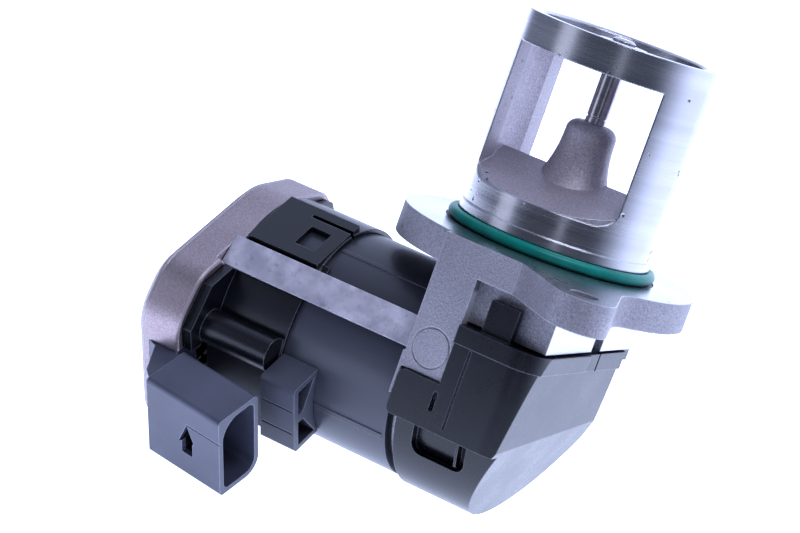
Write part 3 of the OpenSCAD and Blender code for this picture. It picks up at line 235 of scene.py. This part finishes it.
# %% View transform
bpy.context.scene.view_settings.view_transform = "Standard"
bpy.context.scene.view_settings.look = "Medium High Contrast"

# %% [markdown]
# ## How a finish is put together
#
# Every finish below is made from the same few moves. Noise in the object's own coordinates gives grain that
# stays with the metal. A mix of two colours turns that grain into tone, a map range turns it into roughness,
# and a bump node turns it into relief. The bevel node looks at how far a rounded edge would bend the
# surface, which tells where an edge is. Edges are painted paler there: partly the wear that edges get, and
# partly a painted highlight where light catches the rounded edge.

# %% Finish helpers
def new_finish(name):
    material = bpy.data.materials.new(name)
    material.use_nodes = True
    return material, material.node_tree, material.node_tree.nodes["Principled BSDF"]


def add(tree, kind, **values):
    made = tree.nodes.new(kind)
    for key, value in values.items():
        made.inputs[key.replace("_", " ")].default_value = value
    return made


def own_place(tree, stretch=(1, 1, 1)):
    source = tree.nodes.new("ShaderNodeTexCoord")
    scaled = add(tree, "ShaderNodeMapping", Scale=stretch)
    tree.links.new(source.outputs["Object"], scaled.inputs["Vector"])
    return scaled.outputs["Vector"]


def grain(tree, place, scale, detail=3, roughness=0.55):
    made = add(tree, "ShaderNodeTexNoise", Scale=scale, Detail=detail, Roughness=roughness)
    tree.links.new(place, made.inputs["Vector"])
    return made.outputs["Fac"]


# %% Tone, roughness and relief from grain
def spread(tree, value, low, high, to_low, to_high):
    made = add(tree, "ShaderNodeMapRange", From_Min=low, From_Max=high, To_Min=to_low, To_Max=to_high)
    tree.links.new(value, made.inputs["Value"])
    return made.outputs["Result"]


def tone(tree, share, first, second):
    made = tree.nodes.new("ShaderNodeMix")
    made.data_type = "RGBA"
    for key, colour in (("A", first), ("B", second)):
        socket = next(s for s in made.inputs if s.name == key and s.type == "RGBA")
        if hasattr(colour, "is_output"):
            tree.links.new(colour, socket)
        else:
            socket.default_value = (*colour, 1)
    tree.links.new(share, made.inputs["Factor"])
    return next(s for s in made.outputs if s.type == "RGBA")


def relief(tree, height, depth, strength=1.0, under=None):
    made = add(tree, "ShaderNodeBump", Strength=strength, Distance=depth)
    tree.links.new(height, made.inputs["Height"])
    if under is not None:
        tree.links.new(under, made.inputs["Normal"])
    return made.outputs["Normal"]


# %% Sums and edges
def calc(tree, operation, first, second=None, clamp=False):
    made = tree.nodes.new("ShaderNodeMath")
    made.operation = operation
    made.use_clamp = clamp
    for socket, value in zip(made.inputs, (first, second)):
        if value is None:
            continue
        if hasattr(value, "is_output"):
            tree.links.new(value, socket)
        else:
            socket.default_value = value
    return made.outputs["Value"]


def rounded_normal(tree, radius):
    made = tree.nodes.new("ShaderNodeBevel")
    made.samples = 4
    made.inputs["Radius"].default_value = radius
    return made.outputs["Normal"]


def edge_share(tree, radius):
    shape = tree.nodes.new("ShaderNodeNewGeometry")
    dot = tree.nodes.new("ShaderNodeVectorMath")
    dot.operation = "DOT_PRODUCT"
    tree.links.new(rounded_normal(tree, radius), dot.inputs[0])
    tree.links.new(shape.outputs["Normal"], dot.inputs[1])
    return spread(tree, dot.outputs["Value"], 0.995, 0.8, 0, 1)


# %% [markdown]
# ## Moulded and painted finishes
#
# Moulded plastic has a fine, even texture from the tool, a slow change in gloss where it cooled unevenly, and
# edges painted a little paler, partly as wear and partly as a painted highlight where light catches the
# rounded edges. One recipe serves the cover, the collar, the plug socket and the terminal block with other
# numbers.

# %% Moulded plastic
def moulded(name, dark, pale, low, high, texture, edge_wear_and_highlight_colour, edge_wear_and_highlight_share=0.6):
    material, tree, shader = new_finish(name)
    place = own_place(tree)
    clouds = grain(tree, place, 45, 4)
    fine = grain(tree, place, 2600, 2)
    edge = edge_share(tree, 0.0004)
    body = tone(tree, spread(tree, clouds, 0.35, 0.65, 0, 1), dark, pale)
    # Paler edges: partly wear, partly a painted highlight on the rounded edges.
    edge_wear_and_highlight = tone(tree, calc(tree, "MULTIPLY", edge, edge_wear_and_highlight_share), body, edge_wear_and_highlight_colour)
    tree.links.new(edge_wear_and_highlight, shader.inputs["Base Color"])
    slow = spread(tree, clouds, 0.3, 0.7, low, high)
    shine = calc(tree, "ADD", slow, spread(tree, fine, 0.3, 0.7, -0.04, 0.04))
    tree.links.new(shine, shader.inputs["Roughness"])
    shader.inputs["IOR"].default_value = 1.5
    tree.links.new(relief(tree, fine, texture, 1.0, rounded_normal(tree, 0.0004)), shader.inputs["Normal"])
    return material


# The pale edge colour on the black cover is mostly a painted highlight along its rounded edges.
black_moulding = moulded("black_moulding", (0.0025, 0.003, 0.005), (0.005, 0.006, 0.01), 0.26, 0.36, 0.000012,
                          (0.62, 0.64, 0.74), edge_wear_and_highlight_share=0.22)
socket_moulding = moulded("socket_moulding", (0.045, 0.049, 0.072), (0.074, 0.079, 0.112), 0.3, 0.4, 0.00001,
                           (0.55, 0.57, 0.68))
grey_moulding = moulded("grey_moulding", (0.038, 0.041, 0.055), (0.06, 0.064, 0.085), 0.38, 0.5, 0.00001,
                         (0.3, 0.31, 0.38))
brown_moulding = moulded("brown_moulding", (0.09, 0.065, 0.045), (0.14, 0.1, 0.07), 0.4, 0.55, 0.00001,
                          (0.3, 0.24, 0.18))
magnet_look = moulded("magnet_look", (0.02, 0.02, 0.022), (0.035, 0.035, 0.038), 0.5, 0.7, 0.00004,
                      (0.12, 0.12, 0.13))
carbon_look = moulded("carbon_look", (0.01, 0.01, 0.01), (0.022, 0.022, 0.023), 0.45, 0.6, 0.00003,
                      (0.07, 0.07, 0.07))

# %% Rubber seals
def rubber(name, dark, pale, low, high):
    material, tree, shader = new_finish(name)
    place = own_place(tree)
    patches = grain(tree, place, 160, 4)
    dust = grain(tree, place, 1900, 3)
    body = tone(tree, spread(tree, patches, 0.35, 0.7, 0, 1), dark, pale)
    tree.links.new(body, shader.inputs["Base Color"])
    tree.links.new(spread(tree, patches, 0.3, 0.7, low, high), shader.inputs["Roughness"])
    shader.inputs["Specular IOR Level"].default_value = 0.32
    tree.links.new(relief(tree, dust, 0.000012), shader.inputs["Normal"])
    return material


ring_rubber = rubber("ring_rubber", (0.0, 0.17, 0.135), (0.0, 0.25, 0.2), 0.3, 0.42)
black_rubber = rubber("black_rubber", (0.01, 0.01, 0.012), (0.02, 0.02, 0.022), 0.5, 0.7)

# %% Coated steel of the motor can
def coated(name, dark, pale, low, high):
    material, tree, shader = new_finish(name)
    place = own_place(tree)
    flow = grain(tree, own_place(tree, (12, 90, 90)), 1, 4)
    peel = grain(tree, place, 700, 3)
    edge = edge_share(tree, 0.0005)
    body = tone(tree, spread(tree, flow, 0.35, 0.65, 0, 1), dark, pale)
    # Paler edges: partly wear, partly a painted highlight on the rounded edges.
    edge_wear_and_highlight = tone(tree, calc(tree, "MULTIPLY", edge, 0.4), body, (0.3, 0.3, 0.33))
    tree.links.new(edge_wear_and_highlight, shader.inputs["Base Color"])
    tree.links.new(spread(tree, flow, 0.3, 0.7, low, high), shader.inputs["Roughness"])
    shader.inputs["Metallic"].default_value = 0.0
    shader.inputs["Coat Weight"].default_value = 0.25
    shader.inputs["Coat Roughness"].default_value = 0.2
    tree.links.new(relief(tree, peel, 0.000006, 1.0, rounded_normal(tree, 0.0004)), shader.inputs["Normal"])
    return material


can_look = coated("can_look", (0.028, 0.03, 0.043), (0.04, 0.042, 0.058), 0.4, 0.5)

# %% [markdown]
# ## Metal finishes
#
# The casting is one piece of aluminium with two skins. Where a tool has been, on the cage, in its mouth and
# on the flange's face, it is turned bright with fine rings round the axis. Everywhere else it has the grain
# of the mould. One material holds both, and the place on the part decides: a point far enough from the
# cage's axis and above the flange is turned, and so is a face that looks straight up. Inside the cage the
# grain is painted paler, painted light for the light that reaches into the cage, and a little warmer in tone.
# Below the flange the block's side faces that look along +X are painted pale: a painted sheen of the lit
# side, on faces taken to be machined.

# %% Cast grain
def cast_skin(tree, place, dark, pale):
    clouds = grain(tree, place, 55, 4)
    coarse = grain(tree, place, 1700, 4, 0.65)
    fine = grain(tree, place, 4200, 3, 0.6)
    mixed = calc(tree, "ADD", calc(tree, "MULTIPLY", clouds, 0.14),
                 calc(tree, "ADD", calc(tree, "MULTIPLY", coarse, 0.36), calc(tree, "MULTIPLY", fine, 0.5)))
    colour = tone(tree, spread(tree, mixed, 0.38, 0.62, 0, 1), dark, pale)
    height = calc(tree, "ADD", calc(tree, "MULTIPLY", coarse, 0.6), calc(tree, "MULTIPLY", fine, 0.4))
    return colour, mixed, height


def pores(tree, place, scale, size):
    cells = tree.nodes.new("ShaderNodeTexVoronoi")
    cells.inputs["Scale"].default_value = scale
    tree.links.new(place, cells.inputs["Vector"])
    rare = grain(tree, place, 90, 2)
    near = spread(tree, cells.outputs["Distance"], size, size * 0.4, 0, 1)
    return calc(tree, "MULTIPLY", near, spread(tree, rare, 0.6, 0.66, 0, 1), clamp=True)


# %% Turned skin
def turned_skin(tree):
    rings = grain(tree, own_place(tree, (30, 30, 3800)), 1, 3)
    bands = grain(tree, own_place(tree, (6, 6, 160)), 1, 3)
    colour = tone(tree, spread(tree, bands, 0.3, 0.7, 0, 1), (0.41, 0.41, 0.43), (0.53, 0.53, 0.55))
    slow = spread(tree, bands, 0.3, 0.7, 0.18, 0.27)
    shine = calc(tree, "ADD", slow, spread(tree, rings, 0.3, 0.7, -0.03, 0.06))
    return colour, shine, rings


# %% Places on the casting
CAGE_RADIUS = 0.025
MOUTH = 0.048
FLANGE_DEPTH = 0.0105


def radius_and_height(tree):
    place = tree.nodes.new("ShaderNodeTexCoord")
    apart = tree.nodes.new("ShaderNodeSeparateXYZ")
    tree.links.new(place.outputs["Object"], apart.inputs["Vector"])
    x, y, z = apart.outputs
    radius = calc(tree, "SQRT", calc(tree, "ADD", calc(tree, "MULTIPLY", x, x), calc(tree, "MULTIPLY", y, y)))
    return radius, z


def facing(tree, axis, low, high):
    shape = tree.nodes.new("ShaderNodeNewGeometry")
    normal = tree.nodes.new("ShaderNodeSeparateXYZ")
    tree.links.new(shape.outputs["Normal"], normal.inputs["Vector"])
    return spread(tree, normal.outputs[axis], low, high, 0, 1)


# %% Painted light inside the cage and on the block's +X sides
def inside_painted_light_share(tree):
    radius, z = radius_and_height(tree)
    inward = spread(tree, radius, CAGE_RADIUS - 0.0002, CAGE_RADIUS - 0.0005, 0, 1)
    return calc(tree, "MULTIPLY", inward, spread(tree, z, 0.0005, 0.0015, 0, 1))


def milled_and_lit_side_share(tree):
    z = radius_and_height(tree)[1]
    below = spread(tree, z, -FLANGE_DEPTH, -FLANGE_DEPTH - 0.001, 0, 1)
    return calc(tree, "MULTIPLY", facing(tree, "X", 0.9, 0.97), below)


# %% Turned outside, mouth and flange face
def turned_share(tree):
    radius, z = radius_and_height(tree)
    outside = spread(tree, radius, CAGE_RADIUS - 0.00025, CAGE_RADIUS - 0.0001, 0, 1)
    above = spread(tree, z, 0.0, 0.00012, 0, 1)
    mouth = spread(tree, z, MOUTH - 0.00015, MOUTH, 0, 1)
    from_below = spread(tree, z, -0.0003, -0.0001, 0, 1)
    flange_face = calc(tree, "MULTIPLY", facing(tree, "Z", 0.98, 0.995), from_below)
    flange_face = calc(tree, "MULTIPLY", flange_face, spread(tree, z, 0.001, 0.0005, 0, 1))
    cage = calc(tree, "MULTIPLY", above, calc(tree, "MAXIMUM", outside, mouth))
    return calc(tree, "MAXIMUM", cage, flange_face, clamp=True)


# %% The casting's finish
def casting_finish():
    material, tree, shader = new_finish("casting_finish")
    place = own_place(tree)
    cast_colour, mixed, cast_height = cast_skin(tree, place, (0.165, 0.162, 0.182), (0.38, 0.366, 0.4))
    grains = spread(tree, mixed, 0.38, 0.62, 0, 1)
    inside_painted_paler = tone(tree, grains, (0.31, 0.285, 0.31), (0.6, 0.56, 0.6))
    # Inside the cage the colour is painted paler: painted light for the light that reaches into the cage.
    cast_colour = tone(tree, inside_painted_light_share(tree), cast_colour, inside_painted_paler)
    # Faces looking along +X below the flange are painted pale: a painted sheen of the lit side on faces taken
    # to be machined.
    milled_and_lit_side_colour = tone(tree, grains, (0.62, 0.62, 0.65), (0.8, 0.8, 0.84))
    cast_colour = tone(tree, milled_and_lit_side_share(tree), cast_colour, milled_and_lit_side_colour)
    turned_colour, shine, rings = turned_skin(tree)
    share = turned_share(tree)
    pits = pores(tree, place, 300, 0.2)
    colour = tone(tree, share, cast_colour, turned_colour)
    # Edges painted paler: partly wear, partly a painted highlight on the rounded edges.
    edge = edge_share(tree, 0.0005)
    colour = tone(tree, calc(tree, "MULTIPLY", edge, 0.5), colour, (0.75, 0.75, 0.79))
    # The pits are painted nearly black: painted shade inside the small holes, with the bump giving their
    # relief.
    colour = tone(tree, pits, colour, (0.05, 0.045, 0.05))
    tree.links.new(colour, shader.inputs["Base Color"])
    tree.links.new(spread(tree, share, 0, 1, 0.7, 1), shader.inputs["Metallic"])
    rough = spread(tree, mixed, 0.35, 0.65, 0.62, 0.46)
    blend = tree.nodes.new("ShaderNodeMix")
    tree.links.new(share, blend.inputs["Factor"])
    tree.links.new(rough, blend.inputs["A"])
    tree.links.new(shine, blend.inputs["B"])
    tree.links.new(blend.outputs["Result"], shader.inputs["Roughness"])
    soft = rounded_normal(tree, 0.0005)
    cast_share = calc(tree, "SUBTRACT", 1.0, share)
    cast = relief(tree, calc(tree, "MULTIPLY", cast_height, cast_share), 0.00022, 0.8, soft)
    turned = relief(tree, calc(tree, "MULTIPLY", rings, share), 0.000004, 0.6, cast)
    pitted = relief(tree, calc(tree, "SUBTRACT", 1.0, pits), 0.0002, 1.0, turned)
    tree.links.new(pitted, shader.inputs["Normal"])
    return material


casting_look = casting_finish()

# %% Die-cast end cap
def die_cast(name, dark, pale):
    material, tree, shader = new_finish(name)
    place = own_place(tree)
    colour, mixed, height = cast_skin(tree, place, dark, pale)
    edge = edge_share(tree, 0.0008)
    # Paler edges: partly wear, partly a painted highlight on the rounded edges.
    edge_wear_and_highlight = tone(tree, calc(tree, "MULTIPLY", edge, 0.6), colour, (0.66, 0.65, 0.69))
    tree.links.new(edge_wear_and_highlight, shader.inputs["Base Color"])
    shader.inputs["Metallic"].default_value = 1.0
    tree.links.new(spread(tree, mixed, 0.35, 0.65, 0.55, 0.42), shader.inputs["Roughness"])
    tree.links.new(relief(tree, height, 0.00008, 0.8, rounded_normal(tree, 0.0008)), shader.inputs["Normal"])
    return material


cap_look = die_cast("cap_look", (0.26, 0.215, 0.225), (0.42, 0.365, 0.38))

# %% Worked steel and other metals
def worked(name, dark, pale, low, high, stretch, depth=0.000004, stain=None):
    material, tree, shader = new_finish(name)
    place = own_place(tree)
    lines = grain(tree, own_place(tree, stretch), 1, 4, 0.6)
    clouds = grain(tree, place, 180, 4, 0.6)
    colour = tone(tree, spread(tree, clouds, 0.35, 0.65, 0, 1), dark, pale)
    if stain:
        spots = grain(tree, place, 520, 3, 0.7)
        colour = tone(tree, spread(tree, spots, 0.55, 0.75, 0, 0.7), colour, stain)
    # Edges painted paler: partly wear, partly a painted highlight on the rounded edges.
    edge = edge_share(tree, 0.00025)
    colour = tone(tree, calc(tree, "MULTIPLY", edge, 0.5), colour, tuple(min(1, c * 1.35) for c in pale))
    tree.links.new(colour, shader.inputs["Base Color"])
    shader.inputs["Metallic"].default_value = 1.0
    slow = spread(tree, clouds, 0.3, 0.7, low, high)
    shine = calc(tree, "ADD", slow, spread(tree, lines, 0.3, 0.7, -0.05, 0.05))
    tree.links.new(shine, shader.inputs["Roughness"])
    tree.links.new(relief(tree, lines, depth, 0.7, rounded_normal(tree, 0.0002)), shader.inputs["Normal"])
    return material


strap_look = worked("strap_look", (0.6, 0.58, 0.66), (0.78, 0.76, 0.84), 0.36, 0.5, (60, 1200, 1200),
                    stain=(0.42, 0.4, 0.45))
poppet_look = worked("poppet_look", (0.42, 0.42, 0.45), (0.56, 0.56, 0.6), 0.25, 0.38, (900, 900, 900),
                     stain=(0.3, 0.28, 0.28))
seat_look = worked("seat_look", (0.45, 0.45, 0.48), (0.58, 0.58, 0.62), 0.2, 0.32, (40, 40, 3000))
stem_look = worked("stem_look", (0.42, 0.4, 0.42), (0.56, 0.54, 0.56), 0.16, 0.26, (80, 80, 4000))
bright_look = worked("bright_look", (0.5, 0.5, 0.53), (0.64, 0.64, 0.67), 0.2, 0.3, (3000, 80, 80))
gear_look = worked("gear_look", (0.3, 0.3, 0.31), (0.42, 0.42, 0.43), 0.38, 0.5, (1500, 1500, 1500), 0.00001)
bronze_look = worked("bronze_look", (0.42, 0.28, 0.13), (0.58, 0.42, 0.22), 0.32, 0.45, (1200, 1200, 1200),
                     0.00001)
wire_look = worked("wire_look", (0.26, 0.27, 0.3), (0.38, 0.39, 0.42), 0.25, 0.35, (900, 900, 900))
brass_look = worked("brass_look", (0.6, 0.45, 0.2), (0.75, 0.6, 0.3), 0.22, 0.34, (3000, 60, 60))
contact_look = worked("contact_look", (0.62, 0.56, 0.36), (0.78, 0.72, 0.5), 0.2, 0.3, (1500, 300, 300))

# %% Stacked laminations and wound wire
WAVES_PER_METRE = 3.18


def ribbed(name, dark, pale, metal, low, high, pitch, depth):
    material, tree, shader = new_finish(name)
    stripes = add(tree, "ShaderNodeTexWave", Scale=1 / pitch / WAVES_PER_METRE, Distortion=0.6, Detail=2.0)
    stripes.bands_direction = "X"
    tree.links.new(own_place(tree), stripes.inputs["Vector"])
    clouds = grain(tree, own_place(tree), 220, 4)
    colour = tone(tree, calc(tree, "MULTIPLY", stripes.outputs["Fac"], clouds), dark, pale)
    tree.links.new(colour, shader.inputs["Base Color"])
    shader.inputs["Metallic"].default_value = metal
    tree.links.new(spread(tree, clouds, 0.3, 0.7, low, high), shader.inputs["Roughness"])
    tree.links.new(relief(tree, stripes.outputs["Fac"], depth), shader.inputs["Normal"])
    return material


core_look = ribbed("core_look", (0.12, 0.12, 0.13), (0.5, 0.5, 0.53), 1.0, 0.35, 0.5, 0.0005, 0.00005)
winding_look = ribbed("winding_look", (0.3, 0.09, 0.03), (0.85, 0.42, 0.2), 1.0, 0.25, 0.38, 0.0006, 0.0001)
board_look = ribbed("board_look", (0.01, 0.06, 0.02), (0.03, 0.16, 0.06), 0.0, 0.35, 0.5, 0.0025, 0.00001)

# %% [markdown]
# ## Dressing the frame
#
# The frame's solids already have the real shapes, so they stay and only get their finish. The table says
# which finish each material slot of the record takes.

# %% Finish for each slot
LOOKS = {
    "cast_aluminium": casting_look, "seat_steel": seat_look, "poppet_steel": poppet_look,
    "bright_steel": bright_look, "gear_steel": gear_look, "bronze": bronze_look,
    "spring_steel": wire_look, "seal_green": ring_rubber, "seal_black": black_rubber,
    "gear_plastic": brown_moulding, "brass": brass_look, "core_steel": core_look,
    "copper": winding_look, "magnet": magnet_look, "can_steel": can_look, "carbon": carbon_look,
    "black_plastic": black_moulding, "grey_plastic": grey_moulding, "strap_steel": strap_look,
    "board": board_look, "contact": contact_look,
}
OWN_LOOK = {"end_cap": cap_look, "valve_stem": stem_look, "connector_housing": socket_moulding}

for part in frame["record"]["subparts"]:
    name = part["node"]
    look = OWN_LOOK.get(name, LOOKS[part["material_slot"]])
    for place in frame["nodes"][name].material_slots:
        place.material = look

# %% [markdown]
# ## The end cap
#
# The cast cap is an eight-sided dish whose corners are rounded and whose outer edge is a soft chamfer with
# the parting line of the mould beside it. The CAD solid has the same outline with plain corners. A row of
# outlines, each a little smaller than the last, is the natural way to build such a dish: rounding the
# corners of one flat outline is easy, and skinning from ring to ring gives every chamfer and the hollow
# inside. The notches for the plug's neck and the strap's hooks are then cut with boolean modifiers.

# %% Outline of the cap
CORNERS = ((39, 16.5, 11), (28.5, 26.5, 11), (-9.5, 26.5, 20), (-27, 18, 8), (-30, 11, 8))
CORNER_STEPS = 6


def rounded(points, radii):
    ring = []
    count = len(points)
    for i, corner in enumerate(points):
        before, after = points[i - 1] - corner, points[(i + 1) % count] - corner
        half = before.angle(after) / 2
        reach = min(radii[i] / math.tan(half), before.length * 0.46, after.length * 0.46)
        first, last = corner + before.normalized() * reach, corner + after.normalized() * reach
        for k in range(CORNER_STEPS + 1):
            share = k / CORNER_STEPS
            ring.append(first.lerp(corner, share).lerp(corner.lerp(last, share), share))
    return ring


def cap_outline(inset, rounding=1):
    slant = inset * 0.42
    moves = ((-inset, -slant), (-slant, -inset), (slant, -inset), (slant, -inset * 0.7), (inset, -slant))
    side = [(Vector((u + du, t + dt)), r) for (u, t, r), (du, dt) in zip(CORNERS, moves)]
    other = [(Vector((p.x, -p.y)), r) for p, r in reversed(side)]
    return rounded([p for p, r in side + other], [r * rounding for p, r in side + other])


# %% Motor's frame
MOTOR_AXIS = Vector((0, -9, -40))
CLOCK = math.radians(214)


def turned_frame(angle):
    turn = Matrix.Rotation(angle, 4, "X")
    return Matrix.Translation(MOTOR_AXIS * MM) @ turn @ Matrix.Scale(MM, 4)


# %% Skin of rings
def ring_skin(name, rings, frame_matrix):
    form = bmesh.new()
    loops = [[form.verts.new(frame_matrix @ Vector((x, p.x, p.y))) for p in ring] for x, ring in rings]
    count = len(loops[0])
    for low_loop, high_loop in zip(loops, loops[1:]):
        for i in range(count):
            form.faces.new((low_loop[i], low_loop[(i + 1) % count], high_loop[(i + 1) % count], high_loop[i]))
    form.faces.new(loops[0])
    form.faces.new(loops[-1])
    bmesh.ops.recalc_face_normals(form, faces=form.faces)
    for face in form.faces:
        face.smooth = True
    mesh = bpy.data.meshes.new(name)
    form.to_mesh(mesh)
    form.free()
    mesh.set_sharp_from_angle(angle=math.radians(32))
    return new_object(name, mesh)


# %% Rings of the cap, from the hollow over the rim to the outer face
box_low, box_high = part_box("end_cap")
left, right = box_low[0] / MM, box_high[0] / MM
WALL = 2.6
FLOOR = 3
RIM_CHAMFER = 0.5
INNER_CHAMFER = 0.4
INNER_ROUNDING = 0.12
PARTING_DEPTH = 0.22
hollow = [
    (left + FLOOR, WALL, INNER_ROUNDING), (right - INNER_CHAMFER, WALL, INNER_ROUNDING),
    (right, WALL - INNER_CHAMFER, INNER_ROUNDING),
]
rim = [(right, RIM_CHAMFER, 1), (right - RIM_CHAMFER, 0, 1)]
parting_line = [
    (left + 3.5, 0, 1), (left + 3.3, PARTING_DEPTH, 1), (left + 3.1, PARTING_DEPTH, 1), (left + 2.9, 0, 1),
]
outer_face = [(left + 2.4, 0.15, 1), (left + 0.7, 2.1, 1), (left + 0.2, 2.9, 1), (left, 3.8, 1)]
steps = [(x, cap_outline(inset, rounding)) for x, inset, rounding in hollow + rim + parting_line + outer_face]
cap = ring_skin("cap_shell", steps, turned_frame(CLOCK))
print("cap shell:", len(cap.data.polygons), "faces")


# %% Notches
def notch(piece, low_corner, high_corner, frame_matrix):
    form = bmesh.new()
    bmesh.ops.create_cube(form, size=1)
    for vert in form.verts:
        share = vert.co + Vector((0.5, 0.5, 0.5))
        vert.co = frame_matrix @ Vector([a + (b - a) * k for a, b, k in zip(low_corner, high_corner, share)])
    mesh = bpy.data.meshes.new("notch_form")
    form.to_mesh(mesh)
    form.free()
    cutter = new_object("notch_form", mesh)
    cut = piece.modifiers.new("notch", "BOOLEAN")
    cut.operation = "DIFFERENCE"
    cut.object = cutter
    return cutter


def cut_out(piece, cutters):
    bpy.context.view_layer.update()
    shaped = bpy.data.meshes.new_from_object(piece.evaluated_get(bpy.context.evaluated_depsgraph_get()))
    piece.modifiers.clear()
    piece.data = shaped
    for cutter in cutters:
        bpy.data.objects.remove(cutter)


STRAP_ANGLE = math.radians(153.5)
STRAP_HALF = 4.35
NECK_HALF = 9.1
neck = ((left + 4.9, 35.5, -NECK_HALF), (right + 1, 40, NECK_HALF), turned_frame(CLOCK))
hooks = [
    ((right - 1.6, 27.35, -STRAP_HALF), (right + 1, 54, STRAP_HALF), turned_frame(STRAP_ANGLE + turn))
    for turn in (0, math.pi)
]
cut_out(cap, [notch(cap, *place) for place in [neck] + hooks])
cap.data.materials.clear()
cap.data.materials.append(cap_look)
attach(cap, "housing")
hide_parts("end_cap")
print("cap shell with notches:", len(cap.data.polygons), "faces")
